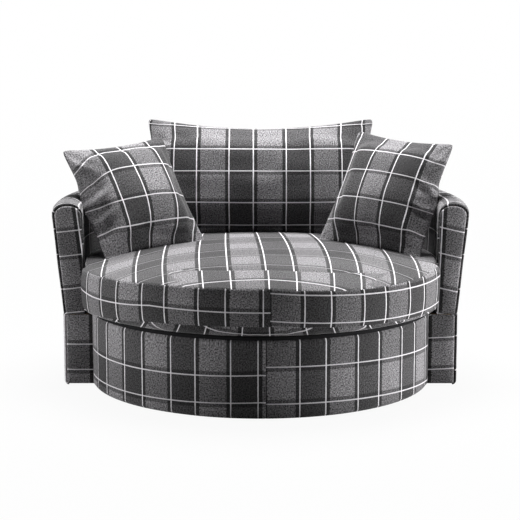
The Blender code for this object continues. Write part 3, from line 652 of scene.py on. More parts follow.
fronts = {
    "edge": 0.0045,              # radius of the padded edge
    "dome": 0.0035, "domeReach": 0.035, "back": 0.0105,
    "columns": 30, "armRows": 90, "baseRows": 50, "thickness": 0.009, "ripple": 0.0010,
    "left_arm_front": {
        "lean": -0.12, "across": -0.6203, "at": 0.5509, "turn": -1,
        "along": 0.3490, "slope": 0.11, "from": -0.640, "stretch": 1.055},
    "right_arm_front": {
        "lean": 0.033, "across": 0.6204, "at": 0.5474, "turn": 1,
        "along": 0.344, "slope": -0.23, "from": 0.640, "stretch": 1.0},
    "left_base_front": {
        "lean": 0.0, "across": -0.5770, "at": 0.1, "turn": -1,
        "along": 0.1524, "slope": 0.0, "from": -0.640, "stretch": 1.0},
    "right_base_front": {
        "lean": 0.0, "across": 0.5770, "at": 0.1, "turn": 1,
        "along": 0.0655, "slope": 0.05, "from": 0.640, "stretch": 1.09},
}


def onFront(radius):
    return math.sqrt(radius ** 2 - plan["armFront"] ** 2)


def armWidths(count):
    # for each height of the arm's front, where it starts and ends across
    low, section = plan["seamZ"] + 0.0005, insideSection(0)
    heights = [height for _, height in section]
    peak = heights.index(max(heights))
    inner, outer = section[:peak + 1], section[peak:-2][::-1]
    rows = []
    for k in range(count + 1):
        height = low + (max(heights) - 0.0004 - low) * math.sin(math.pi / 2 * k / count) ** 0.8
        inside = np.interp(height, [z for _, z in inner], [r for r, _ in inner])
        if height > plan["rollZ"]:
            outside = np.interp(height, [z for _, z in outer], [r for r, _ in outer])
        else:
            outside = outerRadius(height, plan["rollZ"])
        rows.append((height, onFront(inside + plan["clearance"]), onFront(outside)))
    return rows


def baseWidths(count):
    low, high, turn = plan["floorZ"], plan["seamZ"] - plan["seamGap"], plan["edge"]
    inner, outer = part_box("right_base_front")[0].x, onFront(plan["baseRadius"])
    rows = []
    for k in range(count + 1):
        height = low + (high - low) * (1 - math.cos(math.pi * k / count)) / 2
        near = min(height - low + 0.004, high - height, turn)
        cut = turn - math.sqrt(turn ** 2 - (turn - near) ** 2)
        rows.append((height, inner + cut * 0.5, outer - cut))
    return rows


def frontPanel(name, widths, side, values):
    # a flat panel whose padded edge rolls back all round
    face = centreY - plan["armFront"] - plan["frontPad"] + fronts["dome"] + fronts["back"]
    outline = [Vector((start, height)) for height, start, _ in widths]
    outline += [Vector((end, height)) for height, _, end in reversed(widths)]
    edge, count = fronts["edge"], fronts["columns"]
    points = []
    for height, start, end in widths:
        row = []
        for k in range(count + 1):
            share = (1 - math.cos(math.pi * k / count)) / 2
            spot = Vector((start + (end - start) * share, height))
            away = 1.0
            for first, second in zip(outline, outline[1:] + outline[:1]):
                along = second - first
                part = clipped((spot - first).dot(along) / max(along.length_squared, 1e-12))
                away = min(away, (spot - first - along * part).length)
            turned = edge - min(away, edge)
            roll = edge - math.sqrt(edge ** 2 - turned ** 2)
            reach = min(away / fronts["domeReach"], 1)
            ripple = noise.noise(Vector((spot.x * 22, height * 9, side * 3))) * fronts["ripple"]
            depth = roll - fronts["dome"] * reach * (2 - reach) + ripple * reach
            row.append(Vector((side * spot.x, face + depth, height)))
        points.append(row)

    def cuts(a, b, i):
        spot = points[a][b]
        across = spot.x - values["across"] - values["lean"] * (spot.z - values["at"])
        along = spot.z - values["along"] - values["slope"] * (spot.x - values["from"])
        return (values["turn"] * across, values["stretch"] * along)

    obj = clothMesh(name, points, cuts, side > 0)
    thicken(obj, fronts["thickness"])
    return obj


frontWidths = {"arm": armWidths(fronts["armRows"]), "base": baseWidths(fronts["baseRows"])}
for side, sideName in ((-1, "left"), (1, "right")):
    for kind, widths in frontWidths.items():
        nodeName = f"{sideName}_{kind}_front"
        piece = frontPanel(f"{nodeName}_panel", widths, side, fronts[nodeName])
        finishPiece(piece, "chair", [nodeName])


print("seat cushion")

seat = {
    "cells": 84,                 # across the disc
    "rimRows": 6, "bandRows": 14, "underRows": 7,
    "discEnd": 0.93,             # share of the top that the disc takes, inside its rim
    "rearRadius": 0.6155, "frontRadius": 0.626, "cheek": 0.010,
    "rearDip": 0.2133, "frontDip": 0.2584,
    "top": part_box("seat_cushion_cover")[1].z, "bottom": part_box("seat_cushion_cover")[0].z,
    "topSeam": 0.4381, "lowSeam": 0.3141, "seamSink": 0.018,
    "sinks": ((0.0225, 0.75, 0.37), (0.0172, 0.45, 0.42)),      # left and right: amount, middle, width
    "sinkEnd": 0.98, "sinkFade": 0.15, "lowerSink": 0.6,
    "tuck": 0.008, "power": 2.5, "heel": 0.036,
    "bandSeam": 0.0331,          # to the right of the middle, along the front arc
    "stripRow": 13, "stripSides": (16, 77),       # cells of the disc that the front strip takes
    "stripSeam": 0.0025,         # how deep the seam round it is drawn, and the band's seam
    "bandGroove": 0.0022, "grooveWidth": 0.003,
    "gathers": {"rim": 0.0016, "band": 0.0022, "waves": 0.0012, "under": 0.0028}, "gatherCount": 26,
    "bandFullness": 0.55, "underFullness": 1.4, "underBulge": 0.007,
    "sag": 0.002,                # slow waves in the top
    "topShadeFrom": -0.66, "topShadeOver": 0.16,          # painted shade: the weft's lines fade from the front edge backwards over the brightly lit top

    # the cloth's own measures across and along, as sums of powers of the place
    "at": -0.4,
    "across": {"one": 0.5275, "x": 0.9625, "y": 0.0272, "xy": -0.1168, "yy": 0.0191,
               "xxy": -0.0294, "xyy": 0.3123, "xxx": 0.139},
    "along": {"one": -0.0161, "x": -0.0536, "y": 0.7637, "xy": -0.1075, "xx": 0.1843,
              "x4": 3.9602, "x6": -7.9465},
    "cuts": {
        "strip": {"across": 0.0065, "along": 0.1215, "stretch": 0.838,
                  "from": -0.30, "to": 0.40, "fade": 0.06},
        "left": {"across": -0.1125, "along": 0.361, "bow": -0.012, "reach": 0.75},
        "right": {"across": 0.232, "along": 0.2123, "bow": 0.02, "reach": 0.8},
        "under": {"across": 0.03, "along": 0.10},
    },
}
bandSeamAngle = -math.pi / 2 + seat["bandSeam"] / seat["frontRadius"]


def rimRadius(angle):
    # the cushion's plan: it fits the barrel at the back, and widens to its front arc ahead of the arms
    dip = -angle if angle > -math.pi / 2 else angle + math.pi
    share = clipped((dip - seat["rearDip"]) / (seat["frontDip"] - seat["rearDip"]))
    front = seat["frontRadius"] + seat["cheek"] * math.cos(angle) ** 4
    return seat["rearRadius"] + (front - seat["rearRadius"]) * eased(share)


def frontArc(angle):
    # how far round the cushion an angle lies from its front, with its right side above 0
    turned = (angle + math.pi / 2 + math.pi) % (2 * math.pi) - math.pi
    return turned * seat["frontRadius"]


def bandDrop(angle):
    # how far the band sinks on its right side and at its left end
    arc = frontArc(angle)
    amount, middle, width = seat["sinks"][arc > 0]
    fade = clipped((seat["sinkEnd"] - abs(arc)) / seat["sinkFade"])
    return amount * max(1 - ((abs(arc) - middle) / width) ** 2, 0) * fade


def topSeam(angle):
    return seat["topSeam"] - bandDrop(angle) * (1 if frontArc(angle) > 0 else seat["lowerSink"])


def lowSeam(angle):
    # the band's lower seam, which sinks towards the sides
    sink = seat["seamSink"] * math.cos(angle) ** 2 * (angle < 0)
    return seat["lowSeam"] - sink - seat["lowerSink"] * bandDrop(angle)


def unitDisc(u, v):
    return Vector((u * math.sqrt(1 - v * v / 2), v * math.sqrt(1 - u * u / 2)))


def seatPoint(angle, radius, height):
    return Vector((radius * math.cos(angle), centreY + radius * math.sin(angle), height))


def pucker(angle, seed):
    # small gathers that run square to a seam
    count = seat["gatherCount"]
    return noise.noise(Vector((math.cos(angle) * count, math.sin(angle) * count, seed)))


def topHeight(angle, far):
    wave = noise.noise(Vector((far * math.cos(angle) * 3, far * math.sin(angle) * 3, 1.7))) * seat["sag"]
    return seat["top"] - (seat["top"] - topSeam(angle)) * far ** seat["power"] - seat["sag"] + wave


def underRadius(angle):
    return min(rimRadius(angle), seat["frontRadius"]) - seat["heel"]


def rimPlace(angle, share):
    # from the disc's edge out to the seam
    far = seat["discEnd"] + (1 - seat["discEnd"]) * share
    drawn = (far - seat["discEnd"]) / (1 - seat["discEnd"])
    gather = pucker(angle, 4.2) * seat["gathers"]["rim"] * drawn
    height = topHeight(angle, far) + gather - 0.0015 * (far >= 1)
    return far * (rimRadius(angle) - seat["tuck"] * drawn ** 2), height


def bandPlace(angle, share):
    # down the band, from seam to seam
    bulge = math.sin(math.pi * share) ** seat["bandFullness"]
    gather = pucker(angle, 8.8) * seat["gathers"]["band"] * (1 - bulge)
    gather += pucker(angle / 3, 2.2) * seat["gathers"]["waves"]
    turn = (angle - bandSeamAngle) * seat["frontRadius"] / seat["grooveWidth"]
    drawn = seat["tuck"] * (1 - bulge) + seat["bandGroove"] * math.exp(-turn ** 2)
    return rimRadius(angle) - drawn + gather, topSeam(angle) + (lowSeam(angle) - topSeam(angle)) * share


def underPlace(angle, share):
    # the turned-under edge, down to the flat underside
    bulge = math.sin(math.pi * min(share * seat["underFullness"], 1) * 0.5) * (1 - share) ** 0.5
    first = rimRadius(angle) - seat["tuck"]
    radius = first - (first - underRadius(angle)) * share ** 2 + seat["underBulge"] * bulge
    height = lowSeam(angle) + (seat["bottom"] - lowSeam(angle)) * math.sin(math.pi / 2 * share)
    gather = pucker(angle, 6.1) * seat["gathers"]["under"] * math.sin(math.pi * share)
    return radius + gather * (share < 1), height


def seatCut(panel, place, angle, radius):
    # the cloth's own measure for a point of the seat cushion
    cut = seat["cuts"].get(panel)
    if panel in ("top", "strip"):
        x, y = place.x, place.y - seat["at"]
        terms = {"one": 1, "x": x, "y": y, "xy": x * y, "xx": x * x, "yy": y * y,
                 "xxy": x * x * y, "xyy": x * y * y, "xxx": x ** 3, "x4": x ** 4, "x6": x ** 6}
        across = sum(terms[term] * share for term, share in seat["across"].items())
        along = sum(terms[term] * share for term, share in seat["along"].items())
        if panel == "top":
            return (across, along)
        fade = clipped(min((x - cut["from"]) / cut["fade"], (cut["to"] - x) / cut["fade"]))
        return (across - cut["across"] * fade, along * cut["stretch"] + cut["along"])
    if panel == "under":
        unrolled = radius + (place.z - seat["bottom"])
        return (unrolled * math.cos(angle) - cut["across"], unrolled * math.sin(angle) - cut["along"])
    arc = (angle + math.pi / 2) * seat["frontRadius"]
    if arc > math.pi * seat["frontRadius"]:
        arc -= 2 * math.pi * seat["frontRadius"]
    height = place.z + bandDrop(angle)
    return (arc - cut["across"], height - cut["along"] + cut["bow"] * (arc / cut["reach"]) ** 2)


def buildSeat(name):
    count = seat["cells"]
    first, last = seat["stripSides"]
    mesh = bmesh.new()
    mesh.loops.layers.uv.new("cloth")
    # a layer of painted shade for the weft lines of the seat's top
    mesh.loops.layers.float.new("worn")
    clothLayer, topShadeLayer = mesh.loops.layers.uv["cloth"], mesh.loops.layers.float["worn"]

    def disc(share, height, reach):
        # a square grid drawn out to a round one
        spots = {}
        for i in range(count + 1):
            for j in range(count + 1):
                flat = unitDisc(2 * i / count - 1, 2 * j / count - 1)
                angle, far = math.atan2(flat.y, flat.x), flat.length * share
                spots[i, j] = mesh.verts.new(seatPoint(angle, far * reach(angle), height(angle, far)))
        return spots

    def paint(face, panel):
        centre = face.calc_center_median()
        middle = math.atan2(centre.y - centreY, centre.x)
        for loop in face.loops:
            place = loop.vert.co
            # painted shade on the top, rising from its front edge backwards
            if panel == "top":
                loop[topShadeLayer] = clipped((place.y - seat["topShadeFrom"]) / seat["topShadeOver"])
            spot = Vector((place.x, place.y - centreY))
            angle = math.atan2(spot.y, spot.x)
            if angle - middle > math.pi:
                angle -= 2 * math.pi
            if middle - angle > math.pi:
                angle += 2 * math.pi
            loop[clothLayer].uv = seatCut(panel, place, angle, spot.length)

    def isStrip(i, j):
        return j < seat["stripRow"] and first <= i < last

    top = disc(seat["discEnd"], topHeight, rimRadius)
    under = disc(1, lambda angle, far: seat["bottom"], underRadius)
    for i in range(count):
        for j in range(count):
            corners = [(i, j), (i + 1, j), (i + 1, j + 1), (i, j + 1)]
            face = mesh.faces.new([top[corner] for corner in corners])
            paint(face, "strip" if isStrip(i, j) else "top")
            face = mesh.faces.new([under[corner] for corner in reversed(corners)])
            paint(face, "under")

    # the rows between the two discs: rim of the top, band, and the turned-under edge
    keys = ([(i, 0) for i in range(count)] + [(count, j) for j in range(count)]
            + [(i, count) for i in range(count, 0, -1)] + [(0, j) for j in range(count, 0, -1)])
    spots = [unitDisc(2 * i / count - 1, 2 * j / count - 1) for i, j in keys]
    angles = [math.atan2(spot.y, spot.x) for spot in spots]
    panels, rows = [], [[top[key] for key in keys]]
    for panel, place, steps in (
        ("top", rimPlace, seat["rimRows"]),
        ("band", bandPlace, seat["bandRows"]),
        ("under", underPlace, seat["underRows"]),
    ):
        for k in range(1, steps + 1):
            panels.append(panel)
            if panel == "under" and k == steps:
                rows.append([under[key] for key in keys])
            else:
                rows.append([mesh.verts.new(seatPoint(angle, *place(angle, k / steps))) for angle in angles])
    for panel, upper, lower in zip(panels, rows, rows[1:]):
        for k in range(len(angles)):
            following = (k + 1) % len(angles)
            face = mesh.faces.new((upper[k], lower[k], lower[following], upper[following]))
            centre = face.calc_center_median()
            middle = math.atan2(centre.y - centreY, centre.x)
            kind = panel
            if panel == "band":
                isRight = -math.pi / 2 < middle - seat["bandSeam"] / seat["frontRadius"] < math.pi / 2
                kind = "right" if isRight else "left"
            if panel == "top" and k < count and isStrip(k, 0):
                kind = "strip"
            paint(face, kind)

    # the seam round the front strip
    for (i, j), vert in top.items():
        isAlong = j == seat["stripRow"] and first <= i <= last
        isEnd = i in (first, last) and j <= seat["stripRow"]
        if isAlong or isEnd:
            vert.co.z -= seat["stripSeam"]
    bmesh.ops.recalc_face_normals(mesh, faces=mesh.faces)
    return newObject(name, mesh, plaidCloth)


seatPiece = buildSeat("seat_cushion")
finishPiece(seatPiece, "seat_cushion", ["seat_cushion_cover"])


print("loose pillows")

# pull draws the edges in between the corners, corner sharpens those, and a lower round is a fuller cushion;
# bow bends it, sag lets its foot hang, and flare widens the foot; cap and calm hold the simulation back, at
# the most and near the seams; a fold is a middle, a direction, a length, a width and a height; inner is the
# side towards the chair's middle; curl, droop, bend, stretch and tight are how the front cloth is drawn out
# of true; and front and back are where each cloth's measure starts
backCushion = {
    "size": (0.840, 0.190, 0.440), "pull": 0.026, "bow": 0.070, "cells": (136, 72), "corner": 26,
    "place": (0, 0.4769, 0.6417), "turn": (0, math.radians(18), 0), "cap": 0.007, "calm": 26, "round": 0.52,
    "sag": 0.012, "shift": (0, 0, 0), "flare": 0,
    "folds": (
        (-0.93, 0.55, -40, 0.10, 0.05, 0.009), (0.93, 0.55, 220, 0.10, 0.05, 0.009),
        (-0.90, -0.30, 10, 0.10, 0.06, 0.007), (0.90, -0.30, 170, 0.10, 0.06, 0.007),
    ),
    "inner": 0, "curl": 0, "droop": 0, "bend": (0, 1, 0), "stretch": 1.06, "tight": (-0.03, 0),
    "front": (-0.0265, -0.104), "back": (0.04, 0.02), "body": "back_cushion", "seed": 2.0,
}
leftPillow = {
    "size": (0.420, 0.160, 0.420), "pull": 0.018, "bow": 0, "cells": (76, 76), "corner": 18,
    "turn": (math.radians(34), math.radians(34), math.radians(-4)), "cap": 0.009, "calm": 24, "round": 0.58,
    "sag": 0.024, "shift": (0.010, 0, -0.006), "flare": 0.0,
    "folds": (
        (-0.88, -0.05, 25, 0.28, 0.07, 0.009), (-0.88, -0.42, 20, 0.28, 0.07, 0.009),
        (-0.84, -0.80, 35, 0.34, 0.10, 0.010), (-0.86, 0.60, -50, 0.24, 0.08, 0.007),
    ),
    "inner": 1, "curl": 0.060, "droop": 0.12, "bend": (0, 1, 0), "stretch": 1.04, "tight": (0.12, 0.08),
    "front": (0.001, -0.040), "back": (0.06, 0.05), "body": "left_pillow", "seed": 5.0,
}
rightPillow = leftPillow | {
    "turn": (math.radians(-34), math.radians(28), math.radians(4)),
    "shift": (-0.014, 0, -0.006), "flare": 0.03,
    "folds": (
        (0.93, 0.15, 158, 0.20, 0.07, 0.010), (0.93, -0.25, 165, 0.20, 0.07, 0.010),
        (0.90, -0.75, 145, 0.24, 0.10, 0.010), (0.90, 0.62, 228, 0.20, 0.08, 0.007),
    ),
    "inner": -1, "curl": -0.045, "droop": 0, "bend": (-0.085, 0.05, -0.018), "stretch": 1.20,
    "front": (-0.085, -0.0657), "back": (0.05, 0.08), "body": "right_pillow", "seed": 8.0,
}
pillowValues = {"back_cushion": backCushion, "left_pillow": leftPillow, "right_pillow": rightPillow}
filling = {
    "blunting": 12,              # how near to a corner the outline must be to be rounded off
    "lumps": 0.06,
    "foldsFrom": 0.02,           # where the filling is thinner than this, the folds fade
    "sagFrom": 0.35,             # share of the half height below the middle where a pillow starts to sag
    "valleys": ((1.5, 0.7), (-1.5, 0.3)),        # beside a fold: how many widths off, and how deep
}
strain = {
    # where the cloth is out of true: a start and a reach, in shares of its half size
    "low": (0.1, 0.85), "inner": (-0.65, 1.25), "high": (-0.1, 0.5), "outer": 0.3,
}
simulation = {
    "frames": 20, "quality": 7, "mass": 0.3, "stiffness": 20, "bending": 0.35,
    "pressure": 2.2, "shrink": 0.05, "smoothings": 8,
    "slide": 0.2,                # share kept of a move along the cloth, and not in or out
}
contact = {
    "margin": 0.0008,
    "flat": 0.020,               # a point this deep goes flat, and one at the deepest keeps its form
    "deepest": 0.060,
    "second": 0.005,             # the reach of the second pass
    "facing": 0.8,
}


def arcLengths(half, depth, count):
    # how far the cloth has gone at each column of a rounded form, from its middle
    turns = [math.pi / 2 * (2 * i / count - 1) for i in range(count + 1)]
    steps = [math.hypot(half * math.cos(t), depth * math.sin(t)) * math.pi / count for t in turns]
    sums = np.concatenate([[0], np.cumsum([(a + b) / 2 for a, b in zip(steps, steps[1:])])])
    return sums - sums[-1] / 2


def foldAt(u, v, values):
    # how high the creases stand: each is a ridge with a valley on both sides
    total = 0
    for middleU, middleV, degrees, length, width, height in values["folds"]:
        du, dv, turn = u - middleU, v - middleV, math.radians(degrees)
        along = (du * math.cos(turn) + dv * math.sin(turn)) / length
        across = (dv * math.cos(turn) - du * math.sin(turn)) / width
        ridge = math.exp(-across ** 2)
        for off, deep in filling["valleys"]:
            ridge -= deep * math.exp(-(across - off) ** 2)
        total += height * ridge * math.exp(-along ** 2)
    return total


def spread(k, count):
    # a place from -1 to 1, closer together towards both ends
    return math.sin(math.pi / 2 * (2 * k / count - 1))


def clothAt(u, v, across, along, values):
    # the front cloth's own measure, which follows how the filling pushes it out of true
    half = (values["size"][0] / 2, values["size"][2] / 2)
    middle, width, amount = values["bend"]
    # curl acts low down on the inner side, and droop high up on the outer side
    low = clipped((-v - strain["low"][0]) / strain["low"][1]) ** 2
    across *= 1 + values["pull"] * v * v / (half[0] - values["pull"])
    along *= 1 + values["pull"] * u * u / (half[1] - values["pull"])
    inward = max(values["inner"] * u - strain["inner"][0], 0) / strain["inner"][1]
    high = clipped((v - strain["high"][0]) / strain["high"][1])
    outward = max(-values["inner"] * u - strain["outer"], 0) ** 2 * high
    across *= 1 - values["tight"][0] * (across / half[0]) ** 2
    along *= values["stretch"] * (1 - values["tight"][1] * (along / half[1]) ** 2)
    across += values["curl"] * low * inward + amount * math.exp(-((across - middle) / width) ** 2)
    return across - values["front"][0], along + values["droop"] * outward - values["front"][1]


def pillowMesh(name, values):
    # two cloths joined at their edges, over a rounded filling
    columns, rows = values["cells"]
    width, depth, height = values["size"]
    mesh = bmesh.new()
    layer = mesh.loops.layers.uv.new("cloth")
    sides = {}
    for i in range(columns + 1):
        for j in range(rows + 1):
            u, v, power = spread(i, columns), spread(j, rows), values["corner"]
            # the corners are rounded off, but not what lies further in
            sharp, reach = (abs(u) ** power + abs(v) ** power) ** (1 / power), max(abs(u), abs(v))
            blunt = 1 - (1 - reach / max(sharp, 1e-9)) * reach ** filling["blunting"]
            across = u * blunt * (width / 2 - values["pull"] * (1 - v * v)) * (1 - values["flare"] * v)
            along = v * blunt * (height / 2 - values["pull"] * (1 - u * u))
            fill = depth / 2 * max(0, (1 - u * u) * (1 - v * v)) ** values["round"]
            fill *= 1 + filling["lumps"] * noise.noise(Vector((u * 3, v * 3, values["seed"])))
            fill += foldAt(u, v, values) * min(1, fill / filling["foldsFrom"])
            isEdge = i in (0, columns) or j in (0, rows)
            front = mesh.verts.new((across, -fill, along))
            back = front if isEdge else mesh.verts.new((across, fill, along))
            sides[i, j] = (front, back)
    acrossAt = arcLengths(width / 2 - values["pull"], depth / 2, columns)
    alongAt = arcLengths(height / 2 - values["pull"], depth / 2, rows)
    for i in range(columns):
        for j in range(rows):
            corners = [(i, j), (i + 1, j), (i + 1, j + 1), (i, j + 1)]
            for side, ordered in enumerate((corners, corners[::-1])):
                face = mesh.faces.new([sides[corner][side] for corner in ordered])
                for loop, (a, b) in zip(face.loops, ordered):
                    across, along = acrossAt[a], alongAt[b]
                    if side:
                        loop[layer].uv = (across - values["back"][0], along - values["back"][1])
                        continue
                    loop[layer].uv = clothAt(spread(a, columns), spread(b, rows), across, along, values)
    mesh.verts.index_update()
    rim = [pair[0].index for (i, j), pair in sides.items() if i in (0, columns) or j in (0, rows)]
    values["pairs"] = {key: (pair[0].index, pair[1].index) for key, pair in sides.items()}
    obj = newObject(name, mesh, plaidCloth)
    obj.vertex_groups.new(name="seam").add(rim, 1.0, "REPLACE")
    return obj


def smoothed(move, obj, rounds):
    # each point's move, evened out with its neighbours' this many times
    edges = np.array([edge.vertices for edge in obj.data.edges])
    for _ in range(rounds):
        total, count = np.zeros_like(move), np.zeros((len(move), 1))
        for first, second in (edges.T, edges.T[::-1]):
            np.add.at(total, first, move[second])
            np.add.at(count, first, 1)
        move = (move + total / count) / 2
    return move


def settle(obj, values):
    # lets air push the cloth out while its seams draw in, so that it creases towards them
    before = np.array([vert.co for vert in obj.data.vertices])
    modifier = obj.modifiers.new("cloth", "CLOTH")
    cloth = modifier.settings
    cloth.quality = simulation["quality"]
    cloth.mass = simulation["mass"]
    cloth.tension_stiffness = cloth.compression_stiffness = simulation["stiffness"]
    cloth.shear_stiffness = simulation["stiffness"] / 3
    cloth.bending_stiffness = simulation["bending"]
    cloth.use_pressure = True
    cloth.uniform_pressure_force = simulation["pressure"]
    cloth.vertex_group_shrink = "seam"
    cloth.shrink_min = 0
    cloth.shrink_max = simulation["shrink"]
    cloth.effector_weights.gravity = 0
    modifier.point_cache.frame_start = 1
    modifier.point_cache.frame_end = simulation["frames"]
    for number in range(1, simulation["frames"] + 1):
        scene.frame_set(number)
    shaped = bpy.data.meshes.new_from_object(obj.evaluated_get(bpy.context.evaluated_depsgraph_get()))
    after = np.array([vert.co for vert in shaped.vertices])
    bpy.data.meshes.remove(shaped)
    obj.modifiers.clear()
    scene.frame_set(1)
    # mostly in and out, so that the woven lines stay where they are
    move = after - before
    normals = np.array([vert.normal for vert in obj.data.vertices])
    outward = (move * normals).sum(1, keepdims=True)
    move = move * simulation["slide"] + normals * (1 - simulation["slide"]) * outward
    far = np.linalg.norm(move, axis=1, keepdims=True)
    move *= np.minimum(1, values["cap"] / np.maximum(far, 1e-9))
    move = smoothed(move, obj, simulation["smoothings"])
    columns, rows = values["cells"]
    for (i, j), pair in values["pairs"].items():
        near = min(i, j, columns - i, rows - j) / values["calm"]
        if near < 1:
            move[list(pair)] *= eased(near)
    for vert, point in zip(obj.data.vertices, before + move):
        vert.co = point
    most, average = (round(float(number), 4) for number in (far.max(), far.mean()))
    print("   ", obj.name, "pushed by up to", most, "on average", average)


def placeMatrix(values):
    yaw, lean, roll = values["turn"]
    turn = Matrix.Rotation(yaw, 4, "Z") @ Matrix.Rotation(-lean, 4, "X") @ Matrix.Rotation(roll, 4, "Y")
    return Matrix.Translation(values["place"]) @ turn


def fitPillow(obj, values):
    # scaled to the size that the frame gives it, bowed, leaned and set in its place
    points = np.array([vert.co for vert in obj.data.vertices])
    low, high = points.min(0), points.max(0)
    points = (points - (low + high) / 2) * np.array(values["size"]) / (high - low)
    points[:, 1] -= values["bow"] * (2 * points[:, 0] / values["size"][0]) ** 2
    start = filling["sagFrom"]
    foot = np.clip(-points[:, 2] / (values["size"][2] / 2) - start, 0, 1) / (1 - start)
    points[:, 2] -= values["sag"] * foot ** 2
    for vert, point in zip(obj.data.vertices, points):
        vert.co = point
    obj.data.transform(Matrix.Translation(values["shift"]) @ placeMatrix(values))


def treeOf(obj):
    faces = [tuple(face.vertices) for face in obj.data.polygons]
    return BVHTree.FromPolygons([vert.co for vert in obj.data.vertices], faces)


def pressAgainst(obj, others):
    # where the pillow would reach into what it rests on, it goes flat against it; a corner that reaches
    # far into the padding keeps its form, and the cloth between changes over evenly
    trees = [treeOf(other) for other in others]
    margin, flat, deepest = contact["margin"], contact["flat"], contact["deepest"]
    moved = 0
    for reach in (deepest, contact["second"]):
        for vert in obj.data.vertices:
            for tree in trees:
                place, normal, _, distance = tree.find_nearest(vert.co, reach)
                if place is None:
                    continue
                # past an open edge of the cloth, the nearest place doesn't tell one side from the other
                inward = (place - vert.co).dot(normal)
                isInside = inward > contact["facing"] * distance or distance < 2 * margin
                if inward > -margin and isInside:
                    share = clipped((deepest - inward) / (deepest - flat))
                    vert.co += normal * (min(inward, flat) + margin) * share
                    moved += 1
    print("   ", obj.name, "points pressed back:", moved)


pillows = {}
for pieceName, values in pillowValues.items():
    if "place" not in values:
        low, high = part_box(f"{pieceName}_cover")
        values["place"] = tuple((low + high) / 2)
    piece = pillowMesh(pieceName, values)
    settle(piece, values)
    fitPillow(piece, values)
    pressAgainst(piece, [seatPiece, made["inside_cover"], *pillows.values()])
    pillows[pieceName] = piece
    finishPiece(piece, values["body"], [f"{pieceName}_cover"])


print("foam and fibre")

foam = {"share": (0.978, 0.978, 0.91)}
fibre = {"inset": 5, "share": 0.86}          # cells short of the seams, and share of the way out


def foamBody(name, cover):
    # the seat's foam has its cover's form, drawn in towards its middle
    obj = bpy.data.objects.new(name, cover.data.copy())
    scene.collection.objects.link(obj)
    middle = sum((vert.co for vert in obj.data.vertices), Vector()) / len(obj.data.vertices)
    drawnIn = Matrix.Diagonal((*foam["share"], 1))
    obj.data.transform(Matrix.Translation(middle) @ drawnIn @ Matrix.Translation(-middle))
    obj.data.materials.clear()
    obj.data.materials.append(finishes["foam"])
    finishPiece(obj, "seat_cushion", ["seat_cushion_core"])


def fibreBody(name, cover, values):
    # the loose filling of a pillow: its two faces lie inside the cover's, and meet short of its seams
    inset, share = fibre["inset"], fibre["share"]
    columns, rows = values["cells"]
    points = [vert.co for vert in cover.data.vertices]
    mesh = bmesh.new()
    sides = {}
    for i in range(inset, columns - inset + 1):
        for j in range(inset, rows - inset + 1):
            front, back = (points[index] for index in values["pairs"][i, j])
            middle = (front + back) / 2
            isEdge = i in (inset, columns - inset) or j in (inset, rows - inset)
            first = mesh.verts.new(middle if isEdge else middle.lerp(front, share))
            sides[i, j] = (first, first if isEdge else mesh.verts.new(middle.lerp(back, share)))
    for i in range(inset, columns - inset):
        for j in range(inset, rows - inset):
            corners = [(i, j), (i + 1, j), (i + 1, j + 1), (i, j + 1)]
            mesh.faces.new([sides[corner][0] for corner in corners])
            mesh.faces.new([sides[corner][1] for corner in reversed(corners)])
    obj = newObject(name, mesh, finishes["fibre_filling"])
    finishPiece(obj, values["body"], [f"{values['body']}_filling"])


foamBody("seat_foam", seatPiece)
for pieceName, values in pillowValues.items():
    fibreBody(f"{pieceName}_fibre", pillows[pieceName], values)


print("deck and dust cover")

deck = {
    "edge": 0.006, "edgeSteps": 4, "rings": 10, "turns": 240,
    "shadowLip": 0.597, "lipGap": 0.0010,          # the black cloth lies over the drum's rolled edge: partly the real deck cloth, partly a dark sheet as painted shadow in the gap under the seat cushion
}
dust = {
    "radius": 0.455, "hole": 0.1503, "rings": 14, "turns": 96, "thickness": 0.0006,
    "drop": 0.0004, "wave": 0.0004,
}


def joinRings(mesh, rings):
    for first, second in zip(rings, rings[1:]):
        for k in range(len(first)):
            following = (k + 1) % len(first)
            mesh.faces.new((first[k], first[following], second[following], second[k]))


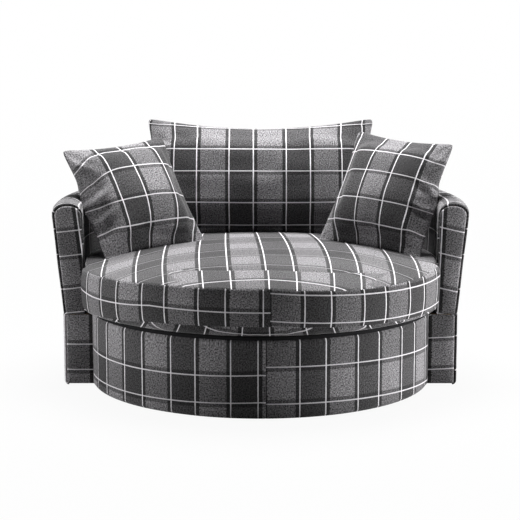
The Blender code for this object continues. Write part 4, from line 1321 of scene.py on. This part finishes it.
def makeDeck():
    # the padded platform under the seat cushion, with a rounded upper edge
    low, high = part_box("deck_pad")
    centre = Vector((0, centreY, 0))
    reachAt = {}
    for vert in nodes["deck_pad"].data.vertices:
        flat = Vector((vert.co.x, vert.co.y, 0)) - centre
        angle = round(math.atan2(flat.y, flat.x), 4)
        reachAt[angle] = max(reachAt.get(angle, 0), flat.length)
    known = sorted(reachAt.items())
    angles = np.linspace(-math.pi, math.pi, deck["turns"], endpoint=False)
    radii = np.interp(angles, [a for a, _ in known], [r for _, r in known], period=2 * math.pi)
    # out to this radius the black cloth covers the drum's rolled edge, as painted shadow under the seat
    # cushion
    wide = np.maximum(radii, deck["shadowLip"])

    # each ring is its radii, a share of them, a step in from there, and its height
    edge = deck["edge"]
    rows = [(radii, 1, 0, low.z), (radii, 1, 0, drumTop + 0.0006),
            (wide, 1, 0, drumTop + deck["lipGap"]), (wide, 1, 0, high.z - edge)]
    for k in range(1, deck["edgeSteps"] + 1):
        turn = math.pi / 2 * k / deck["edgeSteps"]
        rows.append((wide, 1, edge * (1 - math.cos(turn)), high.z - edge * (1 - math.sin(turn))))
    rows += [(wide, 1 - k / deck["rings"], edge, high.z) for k in range(1, deck["rings"])]
    mesh = bmesh.new()
    rings = []
    for reach, share, back, height in rows:
        ring = []
        for angle, radius in zip(angles, share * reach - back):
            ring.append(mesh.verts.new(centre + Vector((
                radius * math.cos(angle), radius * math.sin(angle), height))))
        rings.append(ring)
    joinRings(mesh, rings)
    mesh.faces.new(rings[0][::-1])
    mesh.faces.new(rings[-1])
    bmesh.ops.recalc_face_normals(mesh, faces=mesh.faces)
    return newObject("deck_platform", mesh, finishes["deck_cloth"])


def makeDust():
    # thin black cloth stapled flat under the base, a little slack
    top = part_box("dust_cover")[1].z - dust["drop"]
    mesh = bmesh.new()
    rings = []
    for k in range(dust["rings"] + 1):
        share = k / dust["rings"]
        radius = dust["hole"] + (dust["radius"] - dust["hole"]) * share
        ring = []
        for turn in range(dust["turns"]):
            angle = 2 * math.pi * turn / dust["turns"]
            ripple = noise.noise(Vector((math.cos(angle) * 3, math.sin(angle) * 3, share * 3)))
            slack = math.sin(math.pi * share) * (0.5 + ripple)
            place = (radius * math.cos(angle), radius * math.sin(angle), top - dust["wave"] * slack)
            ring.append(mesh.verts.new(place))
        rings.append(ring)
    joinRings(mesh, rings)
    obj = newObject("dust_sheet", mesh, finishes["dust_cloth"])
    thicken(obj, dust["thickness"])
    return obj


finishPiece(makeDeck(), "chair", ["deck_pad"])
dustPiece = makeDust()
finishPiece(dustPiece, "chair", ["dust_cover"])
